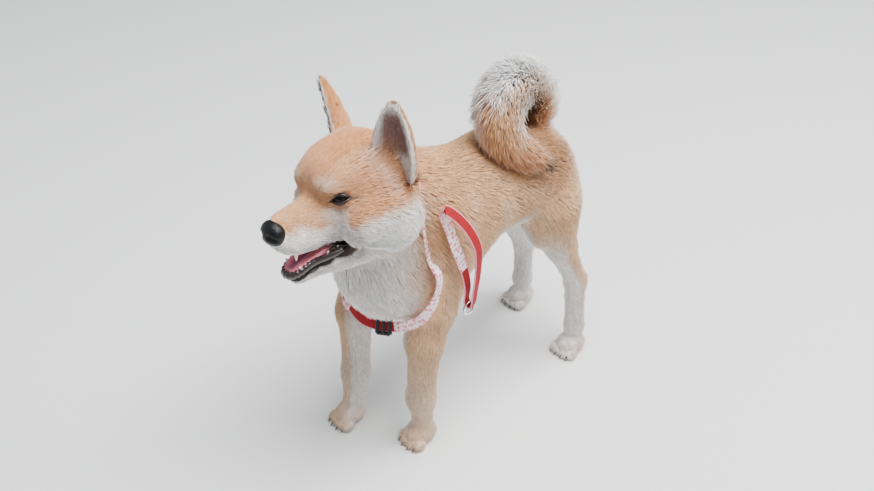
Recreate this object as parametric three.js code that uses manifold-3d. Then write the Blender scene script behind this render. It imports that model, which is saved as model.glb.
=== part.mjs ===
// A shiba inu puppy, standing, as a still life-size model with the harness that it wears.
// Millimetres, +Z up. The dog faces -Y and its left side is at +X. The design origin is on the
// floor below the middle of the four paws, and the group is moved at the end so that the origin
// is at the middle of the underside of the whole box.

import * as THREE from 'three';
import { mergeVertices } from 'three/addons/utils/BufferGeometryUtils.js';
import Module from 'manifold-3d';

const wasm = await Module();
wasm.setup();

const at = (x, y, z) => new THREE.Vector3(x, y, z);
const degrees = THREE.MathUtils.degToRad;

// Driving dimensions
const gap = 0.3;
const sides = { left: 1, right: -1 };

// Trunk, out to the tips of its short coat: each ball has a middle and three radii
const trunk = {
  ribs: { middle: at(0, -54, 215), radii: at(56, 68, 70) },
  breast: { middle: at(0, -98, 188), radii: at(48, 48, 55) },
  withers: { middle: at(0, -58, 254), radii: at(38, 44, 32) },
  belly: { middle: at(0, 14, 232), radii: at(52, 68, 51) },
  croup: { middle: at(0, 58, 230), radii: at(51, 56, 44) },
  rump: { middle: at(0, 82, 208), radii: at(49, 47, 52) },
};
const trunkBlend = 26;
const bodyAxis = [at(0, 84, 214), at(0, 20, 224), at(0, -45, 224), at(1, -90, 242), at(8, -132, 286)];

const neck = {
  base: at(2, -84, 236),
  baseRadius: 56,
  top: at(8, -132, 286),
  topRadius: 47,
  throat: { middle: at(3, -122, 214), radii: at(46, 38, 50) },
};
const neckBlend = 18;

// Head: its own frame looks along -Y and has its origin between the eyes
const headPlace = at(10, -168, 306);
const headTurn = new THREE.Euler(degrees(-7), degrees(-8), degrees(-2), 'ZXY');
const skull = { middle: at(0, 27, 6), radii: at(46, 40, 39) };
const forehead = { middle: at(0, 3, 15), radii: at(28, 27, 23) };
const cheek = { middle: at(31, 16, -20), radii: at(21, 29, 25) };
const jowl = { middle: at(35, 36, -24), radii: at(20, 25, 29) };
const brow = { middle: at(14, -14, 9), radii: at(10, 8, 7) };
const muzzle = { root: at(0, -6, -17), rootRadius: 22, tip: at(0, -45, -26), tipRadius: 13.5 };
const bridge = { middle: at(0, -34, -13), radii: at(10, 24, 7) };
const flew = { middle: at(9, -34, -32), radii: at(9, 20, 8) };
const headBlend = 12;

const nose = {
  middle: at(0, -56.5, -21.5), radii: at(12.5, 9, 10.5), nostril: at(6, -65.5, -21.5), nostrilRadii: at(2.4, 4, 1.9),
};

// Mouth, in the head's frame: the lips run from the corners to the front as two straight lines
const mouth = {
  cornerY: 3,
  cornerZ: -36,
  upperFrontZ: -41,
  lowerFrontY: -46,
  lowerFrontZ: -60,
  backBottom: 26,
  reach: 40,
};
const jaw = {
  back: { middle: at(0, 10, -47), radii: at(29, 36, 21) },
  rootRadius: 17,
  root: at(0, -8, -52),
  tipRadius: 10.5,
  tip: at(0, -36.5, -61),
};
const palateHollow = { middle: at(0, -22, -41), radii: at(11, 30, 8) };
const upperCanine = { root: at(9.5, -41, -36), tip: at(9.5, -43, -46), radius: 2.1 };
const lowerCanine = { root: at(9.2, -38, -60), tip: at(11, -41, -50), radius: 1.9 };
const incisor = { root: at(1.3, -43, -62), tip: at(1.3, -45, -55.5), radius: 1.2, step: at(2.1, 1, 0) };
const cheekTooth = { root: at(15.5, -24, -54), tip: at(15.5, -24, -46), radius: 2.2, step: at(3, 8, 3.6) };
const tongue = { middle: at(0, -24, -50), radii: at(12.5, 29, 4.6), dip: degrees(24), groove: 3.2 };

const eye = { radius: 8.6, outward: at(0.6, -0.79, 0.06), from: at(8, 12, 0), proud: 0.4, lid: 1.2 };
const eyeSlit = { length: 18, height: 9.5, tilt: degrees(10) };

const ear = {
  root: at(36, 35, 24),
  tip: at(46, 27, 77),
  opening: at(0.5, -0.86, 0),
  halfWidth: 19.5,
  depth: 0.7,
  sunk: 16,
  wall: 3.4,
};

// Legs: joints from the shoulder or hip down, with a radius at each
const foreleg = {
  left: {
    elbow: at(42, -88, 158), upper: at(40, -97, 128), wrist: at(38, -101, 58), paw: at(36, -97, 12),
  },
  right: {
    elbow: at(-42, -104, 158), upper: at(-39, -115, 128), wrist: at(-33, -123, 58), paw: at(-32, -131, 12),
  },
  radii: { elbow: 23, upper: 19, wrist: 13, paw: 11.5 },
};
const shoulder = { reach: at(-1, 6, 28), radii: at(22, 34, 44) };

const hindleg = {
  left: {
    hip: at(36, 74, 198), knee: at(43, 84, 150), hock: at(46, 110, 96),
    shank: at(48, 113, 34), paw: at(48.5, 113, 12),
  },
  right: {
    hip: at(-36, 84, 194), knee: at(-43, 98, 146), hock: at(-46, 131, 88),
    shank: at(-48, 134, 34), paw: at(-48.5, 136, 12),
  },
  radii: { hip: 31, knee: 18, hock: 11.5, shank: 10, paw: 10 },
};
const thigh = { reach: at(0, 2, -6), radii: at(23, 38, 46) };

const paw = {
  length: 17,
  width: 14,
  height: 12,
  forward: 7,
  toes: 4,
  toeRadius: 6,
  toeReach: 13,
  toeSpread: 0.55,
  claw: 6,
  clawDrop: 3.6,
  clawRadius: 1.4,
};

// Tail: the middle line of the brush from its root over the curl to its tip, with its radii
const tailLine = [
  at(0, 74, 248), at(0, 84, 281), at(0, 76, 307), at(3, 51, 322),
  at(10, 25, 315), at(22, 16, 294), at(37, 26, 276), at(52, 42, 264),
];
const tailRadii = [19, 22, 25, 28, 28, 24, 17, 5];
const tailCuts = [0.42, 0.72];
const tailRings = { around: 14, rows: 18, capRows: 3 };

// Harness: webbing lies on the coat along routes whose points are dropped onto it
const webbing = { width: 10, thickness: 1.8, lift: 0.5 };
const neckLoop = [
  at(50, -101, 281), at(58, -101, 245), at(59, -99, 205), at(52, -110, 168), at(28, -120, 148),
  at(0, -133, 150), at(-30, -132, 157), at(-52, -113, 178), at(-58, -99, 212), at(-56, -97, 250),
  at(-40, -90, 284), at(0, -76, 294), at(32, -88, 292),
];
const loopMiddle = at(0, -96, 225);
const slideShare = 0.335;
const keeperShare = 0.425;
const slide = { along: 15, width: 16, thickness: 3.6 };
const keeper = { along: 10, width: 14, thickness: 5.4 };
const tabRoute = [
  at(54, -92, 270), at(57, -89, 255), at(60, -84, 234), at(62, -76, 211), at(62, -71, 190), at(61, -68, 171),
];
const tabBow = [0, 7, 10, 6, 2, 0];
const tabLift = 4.4;
const tabFold = 5;
const ring = { radius: 6.4, wire: 1, drop: 3.9 };

const colours = {
  tan: '#c99a6b',
  cream: '#e6dccb',
  nose: '#1c1a1c',
  eye: '#1a1210',
  tongue: '#d07c8c',
  red: '#b3132b',
  black: '#18181c',
  steel: '#b9bcc2',
};

// Fields: a form is a function that is below zero inside itself
const softMin = (a, b, reach) => {
  const near = Math.max(reach - Math.abs(a - b), 0) / reach;
  return Math.min(a, b) - (near * near * reach) / 4;
};

function ball({ middle, radii }) {
  return (p) => {
    const x = (p.x - middle.x) / radii.x;
    const y = (p.y - middle.y) / radii.y;
    const z = (p.z - middle.z) / radii.z;
    const ratio = Math.hypot(x, y, z);
    const slope = Math.hypot(x / radii.x, y / radii.y, z / radii.z);
    return slope > 0 ? (ratio * (ratio - 1)) / slope : -Math.min(radii.x, radii.y, radii.z);
  };
}

function limb(start, startRadius, end, endRadius) {
  const along = end.clone().sub(start);
  const lengthSquared = along.lengthSq();
  return (p) => {
    const share = p.clone().sub(start).dot(along) / lengthSquared;
    const t = THREE.MathUtils.clamp(share, 0, 1);
    const nearest = start.clone().addScaledVector(along, t);
    return p.distanceTo(nearest) - THREE.MathUtils.lerp(startRadius, endRadius, t);
  };
}

function flesh(forms, blend) {
  return (p) => forms.reduce((distance, form) => softMin(distance, form(p), blend), Infinity);
}

// The first point outwards from a start, in a direction, where a field reaches a level
function surfacePoint(field, start, direction, level = 0) {
  const probe = (t) => field(start.clone().addScaledVector(direction, t)) - level;
  const step = 1.5;
  let far = step;
  while (probe(far) < 0 && far < 250) {
    far += step;
  }
  let near = far - step;
  for (let halving = 0; halving < 18; halving += 1) {
    const middle = (near + far) / 2;
    if (probe(middle) < 0) {
      near = middle;
    } else {
      far = middle;
    }
  }
  return start.clone().addScaledVector(direction, far);
}

function outwardOf(field, p) {
  const small = 0.5;
  const along = (axis, step) => field(p.clone().addScaledVector(axis, step));
  const slope = (axis) => along(axis, small) - along(axis, -small);
  return at(slope(at(1, 0, 0)), slope(at(0, 1, 0)), slope(at(0, 0, 1))).normalize();
}

// Three directions at a place along a curve: across, along and the one square to both
function frameAlong(curve, share) {
  const along = curve.getTangentAt(share);
  const across = at(1, 0, 0).addScaledVector(along, -along.x).normalize();
  return { place: curve.getPointAt(share), along, across, third: across.clone().cross(along) };
}

// A capsule whose points are moved out from a middle line onto a field's surface
function wrapped(field, points, { around = 20, rows = 10, capRows = 4, level = 0 } = {}) {
  const line = new THREE.CatmullRomCurve3(points, false, 'catmullrom', 0.5);
  const geometry = new THREE.CapsuleGeometry(1, 1, capRows, around, rows);
  const position = geometry.getAttribute('position');
  for (let i = 0; i < position.count; i += 1) {
    const y = position.getY(i);
    const share = THREE.MathUtils.clamp(y + 0.5, 0, 1);
    const overshoot = y + 0.5 - share;
    const { place, along, across, third } = frameAlong(line, share);
    const direction = across.multiplyScalar(position.getX(i))
      .addScaledVector(third, position.getZ(i))
      .addScaledVector(along, overshoot)
      .normalize();
    const p = surfacePoint(field, place, direction, level);
    position.setXYZ(i, p.x, p.y, p.z);
  }
  return geometry;
}

// Solids
function solid(geometry) {
  const bare = geometry.index ? geometry.clone() : geometry;
  bare.deleteAttribute('normal');
  bare.deleteAttribute('uv');
  const merged = mergeVertices(bare, 1e-4);
  const mesh = new wasm.Mesh({
    numProp: 3,
    vertProperties: new Float32Array(merged.getAttribute('position').array),
    triVerts: new Uint32Array(merged.index.array),
  });
  mesh.merge();
  return new wasm.Manifold(mesh);
}

const union = (...pieces) => pieces.reduce((whole, piece) => whole.add(piece));

function largest(piece) {
  return piece.decompose().sort((a, b) => b.volume() - a.volume())[0];
}

function moved(geometry, matrix) {
  return geometry.clone().applyMatrix4(matrix);
}

function placedBall({ middle, radii }, around = 16, rows = 10, turn = new THREE.Euler()) {
  const geometry = new THREE.SphereGeometry(1, around, rows);
  geometry.scale(radii.x, radii.y, radii.z);
  geometry.applyMatrix4(new THREE.Matrix4().makeRotationFromEuler(turn));
  geometry.translate(middle.x, middle.y, middle.z);
  return solid(geometry);
}

// A half space as a big block behind a plane: it holds what lies against the plane's direction
function halfSpace(point, direction, shift) {
  const size = 900;
  const geometry = new THREE.BoxGeometry(size, size, size);
  geometry.translate(0, 0, -size / 2 + shift);
  const turn = new THREE.Quaternion().setFromUnitVectors(at(0, 0, 1), direction.clone().normalize());
  geometry.applyQuaternion(turn);
  geometry.translate(point.x, point.y, point.z);
  return solid(geometry);
}

// Parts a solid with a thin cut: what lies along the direction, and the rest
function parted(whole, point, direction) {
  const front = whole.subtract(halfSpace(point, direction, gap / 2));
  const rest = whole.intersect(halfSpace(point, direction, -gap / 2));
  return [largest(front), largest(rest)];
}

// A prism across the body from an outline in the middle plane
function prism(outline, halfWidth) {
  const shape = new THREE.Shape(outline.map(([y, z]) => new THREE.Vector2(y, z)));
  const geometry = new THREE.ExtrudeGeometry(shape, { depth: 2 * halfWidth, bevelEnabled: false });
  geometry.translate(0, 0, -halfWidth);
  const sideways = new THREE.Matrix4().makeBasis(at(0, 1, 0), at(0, 0, 1), at(1, 0, 0));
  return solid(moved(geometry, sideways));
}

const mirrored = (p, side) => at(p.x * side, p.y, p.z);
const mirroredBall = ({ middle, radii }, side) => ({ middle: mirrored(middle, side), radii });
const bothSides = (form) => [ball(mirroredBall(form, 1)), ball(mirroredBall(form, -1))];

// Trunk and neck
const trunkField = flesh(Object.values(trunk).map(ball), trunkBlend);
const nape = limb(neck.base, neck.baseRadius, neck.top, neck.topRadius);
const neckField = flesh([nape, ball(neck.throat)], neckBlend);
const bodyField = flesh([trunkField, neckField], trunkBlend);
const bodyRings = { around: 28, rows: 18, capRows: 5 };
const bodySolid = solid(wrapped(bodyField, bodyAxis, bodyRings));
const bodyGrown = solid(wrapped(bodyField, bodyAxis, { ...bodyRings, level: gap }));

// Head
const headMatrix = new THREE.Matrix4().makeRotationFromEuler(headTurn).setPosition(headPlace);
const headMoved = (piece) => piece.transform(headMatrix.elements);
const headForms = [
  ball(skull), ball(forehead), ...bothSides(cheek), ...bothSides(jowl), ...bothSides(brow),
  limb(muzzle.root, muzzle.rootRadius, muzzle.tip, muzzle.tipRadius), ball(bridge), ...bothSides(flew),
];
const headField = flesh(headForms, headBlend);
const headAxis = [at(0, 34, 0), at(0, 8, -4), at(0, -18, -18), at(0, -44, -26)];
const headRings = { around: 28, rows: 11, capRows: 6 };
const headGrown = solid(wrapped(headField, headAxis, { ...headRings, level: gap }));

function slopeOfLips(grow) {
  const reachY = -60 - mouth.reach;
  const upper = mouth.upperFrontZ + grow;
  const lowerSlope = (mouth.lowerFrontZ - mouth.cornerZ) / (mouth.lowerFrontY - mouth.cornerY);
  return { reachY, upper, lower: mouth.cornerZ + lowerSlope * (reachY - mouth.cornerY) - grow };
}

// All that lies below the upper lips and ahead of the jaw's hinge
function jawRegion(grow) {
  const { reachY, upper } = slopeOfLips(grow);
  const floorZ = -120;
  return prism([
    [mouth.cornerY + grow, mouth.cornerZ + grow],
    [reachY, upper - 3],
    [reachY, floorZ],
    [mouth.backBottom + grow, floorZ],
  ].reverse(), 90);
}

function gape() {
  const { reachY, upper, lower } = slopeOfLips(0);
  return prism([[mouth.cornerY + 2, mouth.cornerZ + 1], [reachY, upper + 8], [reachY, lower]].reverse(), 90);
}

function eyeMiddle(side) {
  const outward = mirrored(eye.outward, side).normalize();
  const surface = surfacePoint(headField, mirrored(eye.from, side), outward);
  return surface.addScaledVector(outward, eye.proud - eye.radius);
}

const eyeball = (side, extra, around = 14) => placedBall({
  middle: eyeMiddle(side),
  radii: at(1, 1, 1).multiplyScalar(eye.radius + extra),
}, around, Math.round(around * 0.7));

// The opening between the lids, as a lens-shaped prism along the eye's own direction
function lidOpening(side) {
  const half = eyeSlit.length / 2;
  const rise = eyeSlit.height / 2;
  const shape = new THREE.Shape();
  shape.moveTo(-half, 0);
  shape.quadraticCurveTo(0, -2 * rise * 0.8, half, 0);
  shape.quadraticCurveTo(0, 2 * rise, -half, 0);
  const geometry = new THREE.ExtrudeGeometry(shape, { depth: 30, bevelEnabled: false, curveSegments: 5 });
  const outward = mirrored(eye.outward, side).normalize();
  const level = at(0, 0, 1).cross(outward).normalize();
  const upward = outward.clone().cross(level);
  geometry.applyMatrix4(new THREE.Matrix4().makeRotationZ(side * eyeSlit.tilt));
  geometry.applyMatrix4(new THREE.Matrix4().makeBasis(level, upward, outward));
  const middle = eyeMiddle(side);
  geometry.translate(middle.x, middle.y, middle.z);
  return solid(geometry);
}

function tooth(shape, side, count = 0) {
  const place = (p) => mirrored(p.clone().addScaledVector(shape.step ?? at(0, 0, 0), count), side);
  const root = place(shape.root);
  const rise = place(shape.tip).sub(root);
  const geometry = new THREE.ConeGeometry(shape.radius, rise.length(), 5, 1);
  geometry.translate(0, rise.length() / 2, 0);
  geometry.applyQuaternion(new THREE.Quaternion().setFromUnitVectors(at(0, 1, 0), rise.normalize()));
  geometry.translate(root.x, root.y, root.z);
  return solid(geometry);
}

const tongueTurn = new THREE.Euler(tongue.dip, 0, 0);
const grown = ({ middle, radii }, extra) => ({ middle, radii: radii.clone().addScalar(extra) });

function tongueSolid() {
  const body = placedBall(tongue, 14, 9, tongueTurn);
  const above = tongue.middle.clone().add(at(0, -2, tongue.radii.z + 1));
  const groove = placedBall({ middle: above, radii: at(3.4, 30, tongue.groove) }, 8, 7, tongueTurn);
  return largest(body.subtract(groove));
}

function headMass() {
  const skullAndMuzzle = solid(wrapped(headField, headAxis, headRings));
  return union(skullAndMuzzle, ...Object.values(sides).map((side) => eyeball(side, gap + eye.lid)));
}

// Cuts the eyes' openings, the mouth and the nose's seat into the head, then sets the upper teeth
function carvedHead(mass) {
  let head = mass;
  for (const side of Object.values(sides)) {
    head = head.subtract(headMoved(lidOpening(side))).subtract(headMoved(eyeball(side, gap)));
  }
  const palate = placedBall(palateHollow, 12, 8);
  const mouthTools = [jawRegion(gap / 2), palate, placedBall(grown(nose, gap), 14, 9),
    placedBall(grown(tongue, 2 * gap), 14, 9, tongueTurn)];
  for (const tool of mouthTools) {
    head = head.subtract(headMoved(tool));
  }
  for (const side of Object.values(sides)) {
    head = head.add(headMoved(tooth(upperCanine, side)));
  }
  return largest(head);
}

function makeNose() {
  let piece = placedBall(nose, 14, 9);
  for (const side of Object.values(sides)) {
    const nostril = { middle: mirrored(nose.nostril, side), radii: nose.nostrilRadii };
    piece = piece.subtract(placedBall(nostril, 8, 6));
  }
  return piece;
}

const jawField = flesh([ball(jaw.back), limb(jaw.root, jaw.rootRadius, jaw.tip, jaw.tipRadius)], 8);

function makeJaw() {
  const jawLine = [at(0, 14, -48), at(0, -34, -60)];
  let piece = solid(wrapped(jawField, jawLine, { around: 20, rows: 5, capRows: 4 }));
  piece = piece.intersect(jawRegion(-gap / 2)).subtract(gape());
  for (const side of Object.values(sides)) {
    piece = piece.add(tooth(lowerCanine, side));
    for (const count of [0, 1, 2]) {
      piece = piece.add(tooth(incisor, side, count)).add(tooth(cheekTooth, side, count));
    }
  }
  return largest(piece.subtract(placedBall(grown(tongue, 1.2), 14, 9, tongueTurn)));
}

function earShell(extraInside) {
  const length = ear.tip.distanceTo(ear.root);
  const profile = [
    [0, -ear.sunk], [0.9, -ear.sunk], [1, 0], [0.94, 0.26 * length], [0.78, 0.52 * length],
    [0.54, 0.75 * length], [0.3, 0.91 * length], [0.12, 0.985 * length], [0, length],
  ];
  const points = profile.map(([share, height]) => new THREE.Vector2(
    share * (ear.halfWidth - extraInside),
    height - (height > 0 ? extraInside * 1.4 : 0),
  ));
  points[points.length - 1].x = 0;
  const geometry = new THREE.LatheGeometry(points, 18);
  geometry.scale(1, 1, ear.depth);
  return geometry;
}

function makeEar(side) {
  const upward = ear.tip.clone().sub(ear.root).normalize();
  const opening = ear.opening.clone().addScaledVector(upward, -ear.opening.dot(upward)).normalize();
  const across = upward.clone().cross(opening);
  const frame = new THREE.Matrix4().makeBasis(across, upward, opening).setPosition(ear.root);
  const flip = new THREE.Matrix4().makeScale(side, 1, 1);
  const outer = solid(moved(earShell(0), frame));
  const inner = earShell(ear.wall).translate(0, 3, ear.halfWidth * ear.depth * 0.52);
  const cup = outer.subtract(solid(moved(inner, frame)));
  const placed = side > 0 ? cup : cup.transform(flip.elements);
  return largest(headMoved(placed.subtract(headGrown)).subtract(bodyGrown));
}

// Legs
function pawForms(place) {
  const low = paw.height - 1.5;
  const middle = at(place.x, place.y - paw.forward * 0.4, low);
  const forms = [ball({ middle, radii: at(paw.width, paw.length, paw.height) })];
  for (let toe = 0; toe < paw.toes; toe += 1) {
    const spread = (toe - (paw.toes - 1) / 2) * paw.toeSpread;
    const reach = paw.toeReach - Math.abs(spread) * 3;
    const forward = reach + paw.forward * 0.5;
    const middle = at(place.x + Math.sin(spread) * paw.width, place.y - forward, paw.toeRadius - 0.8);
    forms.push(ball({ middle, radii: at(paw.toeRadius, paw.toeRadius + 2, paw.toeRadius) }));
  }
  return forms;
}

function claws(place) {
  const pieces = [];
  for (let toe = 0; toe < paw.toes; toe += 1) {
    const spread = (toe - (paw.toes - 1) / 2) * paw.toeSpread;
    const reach = paw.toeReach - Math.abs(spread) * 3 + paw.toeRadius;
    const root = at(place.x + Math.sin(spread) * paw.width, place.y - reach - paw.forward * 0.5 + 2, 5.5);
    const tip = root.clone().add(at(0, -paw.claw, -paw.clawDrop));
    pieces.push(tooth({ root, tip, radius: paw.clawRadius }, 1));
  }
  return pieces;
}

function legSolid(forms, blend, line, rows) {
  return solid(wrapped(flesh(forms, blend), line, { around: 14, rows, capRows: 3 }));
}

function pawSolid(place) {
  const forms = pawForms(place);
  const line = [
    at(place.x, place.y + 2, paw.height - 3),
    at(place.x, place.y - paw.forward - 4, paw.height - 5),
  ];
  return solid(wrapped(flesh(forms, 4), line, { around: 14, rows: 2, capRows: 4 }));
}

function makeForeleg(name) {
  const joints = foreleg[name];
  const radii = foreleg.radii;
  const side = sides[name];
  const forms = [
    ball({ middle: joints.elbow.clone().add(mirrored(shoulder.reach, side)), radii: shoulder.radii }),
    limb(joints.elbow, radii.elbow, joints.upper, radii.upper),
    limb(joints.upper, radii.upper, joints.wrist, radii.wrist),
    limb(joints.wrist, radii.wrist, joints.paw, radii.paw),
  ];
  const top = joints.elbow.clone().add(at(0, 4, 26));
  return legSolid(forms, 12, [top, joints.elbow, joints.upper, joints.wrist, joints.paw], 12);
}

function makeHindleg(name) {
  const joints = hindleg[name];
  const radii = hindleg.radii;
  const forms = [
    ball({ middle: joints.hip.clone().add(mirrored(thigh.reach, sides[name])), radii: thigh.radii }),
    limb(joints.hip, radii.hip, joints.knee, radii.knee),
    limb(joints.knee, radii.knee, joints.hock, radii.hock),
    limb(joints.hock, radii.hock, joints.shank, radii.shank),
    limb(joints.shank, radii.shank, joints.paw, radii.paw),
  ];
  return legSolid(forms, 9, [joints.hip, joints.knee, joints.hock, joints.shank, joints.paw], 16);
}

// Tail
const tailCurve = new THREE.CatmullRomCurve3(tailLine, false, 'catmullrom', 0.5);

function tailRadius(share) {
  const place = share * (tailRadii.length - 1);
  const index = Math.min(Math.floor(place), tailRadii.length - 2);
  return THREE.MathUtils.lerp(tailRadii[index], tailRadii[index + 1], place - index);
}

function tailSolid() {
  const geometry = new THREE.CapsuleGeometry(1, 1, tailRings.capRows, tailRings.around, tailRings.rows);
  const position = geometry.getAttribute('position');
  for (let i = 0; i < position.count; i += 1) {
    const y = position.getY(i);
    const share = THREE.MathUtils.clamp(y + 0.5, 0, 1);
    const overshoot = y + 0.5 - share;
    const { place, along, across, third } = frameAlong(tailCurve, share);
    const radius = tailRadius(share);
    const p = place.addScaledVector(across, position.getX(i) * radius)
      .addScaledVector(third, position.getZ(i) * radius)
      .addScaledVector(along, overshoot * radius);
    position.setXYZ(i, p.x, p.y, p.z);
  }
  return solid(geometry);
}

// The whole flesh, parted with thin cuts
const nodes = {};

const neckCut = { point: at(7, -131, 290), direction: at(0, -0.86, 0.5) };
const chestCut = { point: at(0, -92, 290), direction: at(0, -0.9, 0.43) };
const waistCut = { point: at(0, 6, 200), direction: at(0, -1, 0) };

let trunkAndNeck = bodySolid;
const legs = {};
for (const name of Object.keys(sides)) {
  legs[name] = { fore: makeForeleg(name), hind: makeHindleg(name) };
}

// A leg keeps what is outside and below a slanting plane under the trunk
const legPlanes = {
  fore: { inner: 10, innerZ: 133, slope: 0.5 },
  hind: { inner: 12, innerZ: 150, slope: 0.8 },
};

function partLeg(kind, name) {
  const side = sides[name];
  const { inner, innerZ, slope } = legPlanes[kind];
  const direction = at(side * slope, 0, -1).normalize();
  const point = at(side * inner, 0, innerZ);
  const leg = legs[name][kind];
  return [
    largest(leg.subtract(halfSpace(point, direction, gap / 2))),
    leg.intersect(halfSpace(point, direction, -gap / 2)),
  ];
}

function flatFooted(piece) {
  return piece.subtract(halfSpace(at(0, 0, 0), at(0, 0, 1), 0));
}

const legCuts = {
  fore: [{ name: 'upper', z: 84 }],
  hind: [{ name: 'thigh', z: 112 }],
};

for (const name of Object.keys(sides)) {
  for (const kind of ['fore', 'hind']) {
    const [leg, stump] = partLeg(kind, name);
    trunkAndNeck = trunkAndNeck.add(stump);
    const joints = kind === 'fore' ? foreleg[name] : hindleg[name];
    const foot = pawSolid(joints.paw);
    const whole = flatFooted(union(leg, foot, ...claws(joints.paw)));
    const [lower, upper] = parted(whole, at(0, 0, legCuts[kind][0].z), at(0, 0, -1));
    const [footPiece, shank] = parted(lower, at(0, 0, paw.height + 12), at(0, 0, -1));
    nodes[`${kind}leg_upper_${name}`] = upper;
    nodes[`${kind}leg_lower_${name}`] = shank;
    nodes[`${kind}paw_${name}`] = footPiece;
  }
}

const body = union(trunkAndNeck, headMoved(headMass()));
const [headPiece, headless] = parted(body, neckCut.point, neckCut.direction);
const [neckPiece, trunkPiece] = parted(headless, chestCut.point, chestCut.direction);
const [front, rear] = parted(trunkPiece, waistCut.point, waistCut.direction);

nodes.head = carvedHead(headPiece);
nodes.neck = neckPiece;
nodes.torso_front = front;
nodes.torso_rear = rear;
nodes.nose = headMoved(makeNose());
nodes.lower_jaw = largest(headMoved(makeJaw()).subtract(bodyGrown));
nodes.tongue = headMoved(tongueSolid());
for (const [name, side] of Object.entries(sides)) {
  nodes[`eye_${name}`] = headMoved(eyeball(side, 0));
  nodes[`ear_${name}`] = makeEar(side);
}

let tail = largest(tailSolid().subtract(bodyGrown));
const tailNames = ['tail_base', 'tail_crest', 'tail_tip'];
for (const [index, share] of tailCuts.entries()) {
  const { place, along } = frameAlong(tailCurve, share);
  const [beyond, before] = parted(tail, place, along);
  nodes[tailNames[index]] = before;
  tail = beyond;
}
nodes.tail_tip = tail;

// Harness
const clothField = flesh([
  bodyField,
  ...Object.keys(sides).map((name) => {
    const joints = foreleg[name];
    const middle = joints.elbow.clone().add(mirrored(shoulder.reach, sides[name]));
    return ball({ middle, radii: shoulder.radii });
  }),
], 10);

function dropped(points, middle, lifts) {
  return points.map((p, index) => {
    const direction = p.clone().sub(middle).normalize();
    return surfacePoint(clothField, middle, direction, lifts[index] ?? lifts[0]);
  });
}

const flatOnCoat = (place, tangent) => outwardOf(clothField, place).cross(tangent).normalize();
const flatToRear = (place, tangent) => at(0, 1, 0).addScaledVector(tangent, -tangent.y).normalize();

// A closed ribbon: a ring of oblong sections, with the direction across the webbing given
function ribbon(points, rows, acrossAt, grow = 0) {
  const curve = new THREE.CatmullRomCurve3(points, true, 'centripetal');
  const geometry = new THREE.TorusGeometry(2, 1, 4, rows);
  const position = geometry.getAttribute('position');
  const corners = [[1, 1], [-1, 1], [-1, -1], [1, -1], [1, 1]];
  for (let j = 0; j <= 4; j += 1) {
    for (let i = 0; i <= rows; i += 1) {
      const share = (i % rows) / rows;
      const place = curve.getPointAt(share);
      const tangent = curve.getTangentAt(share);
      const across = acrossAt(place, tangent);
      const outward = tangent.clone().cross(across);
      const [sideways, upward] = corners[j];
      place.addScaledVector(across, -sideways * (webbing.width / 2 + grow));
      place.addScaledVector(outward, upward * (webbing.thickness / 2 + grow));
      position.setXYZ(j * (rows + 1) + i, place.x, place.y, place.z);
    }
  }
  return solid(geometry);
}

const loopPoints = dropped(neckLoop, loopMiddle, [webbing.lift + webbing.thickness / 2]);
const loopCurve = new THREE.CatmullRomCurve3(loopPoints, true, 'centripetal');
const loopSolid = ribbon(loopPoints, 56, flatOnCoat);
const loopGrown = ribbon(loopPoints, 56, flatOnCoat, gap);

// A block on the webbing at a share of the loop's length
function blockOnLoop(share, { along, width, thickness }) {
  const geometry = new THREE.BoxGeometry(width, thickness, along);
  const place = loopCurve.getPointAt(share);
  const outward = outwardOf(clothField, place);
  const tangent = loopCurve.getTangentAt(share);
  const across = outward.clone().cross(tangent).normalize();
  const forward = across.clone().cross(outward);
  geometry.applyMatrix4(new THREE.Matrix4().makeBasis(across, outward, forward).setPosition(place));
  return solid(geometry);
}

const bigger = ({ along, width, thickness }) => ({
  along: along + 2 * gap, width: width + 2 * gap, thickness: thickness + 2 * gap,
});

// The tab is doubled: down along the coat, over the fold at the ring and back up, bowed out
const tabDown = dropped(tabRoute, loopMiddle, tabRoute.map(() => tabLift));
const tabUp = dropped(tabRoute.map((p, index) => p.clone().add(at(0, tabBow[index], 0))), loopMiddle,
  tabBow.map((bow) => tabLift + tabFold + bow * 0.5)).reverse();
const tabPoints = [...tabDown, ...tabUp];
const tabSolid = ribbon(tabPoints, 44, flatToRear);
const tabGrown = ribbon(tabPoints, 44, flatToRear, gap);
const foldMiddle = tabDown.at(-1).clone().add(tabUp[0]).multiplyScalar(0.5);
const ringMiddle = foldMiddle.add(at(0, 0, -ring.drop));

function ringAt(grow) {
  const geometry = new THREE.TorusGeometry(ring.radius, ring.wire + grow, 6, 18);
  geometry.rotateY(Math.PI / 2);
  geometry.translate(ringMiddle.x, ringMiddle.y, ringMiddle.z);
  return solid(geometry);
}

nodes.harness_loop = loopSolid;
nodes.harness_slide = largest(blockOnLoop(slideShare, slide).subtract(loopGrown));
nodes.harness_keeper = largest(blockOnLoop(keeperShare, keeper).subtract(loopGrown));
nodes.harness_tab = largest(tabSolid.subtract(ringAt(gap)));
nodes.harness_ring = ringAt(0);
const clearance = [
  loopGrown, blockOnLoop(slideShare, bigger(slide)), blockOnLoop(keeperShare, bigger(keeper)), tabGrown,
];
for (const name of ['neck', 'torso_front', 'foreleg_upper_left', 'foreleg_upper_right', 'head']) {
  nodes[name] = largest(clearance.reduce((piece, tool) => piece.subtract(tool), nodes[name]));
}

// Meshes
const looks = {
  nose: colours.nose, eye: colours.eye, tongue: colours.tongue, jaw: colours.cream, harness: colours.red,
};

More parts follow.
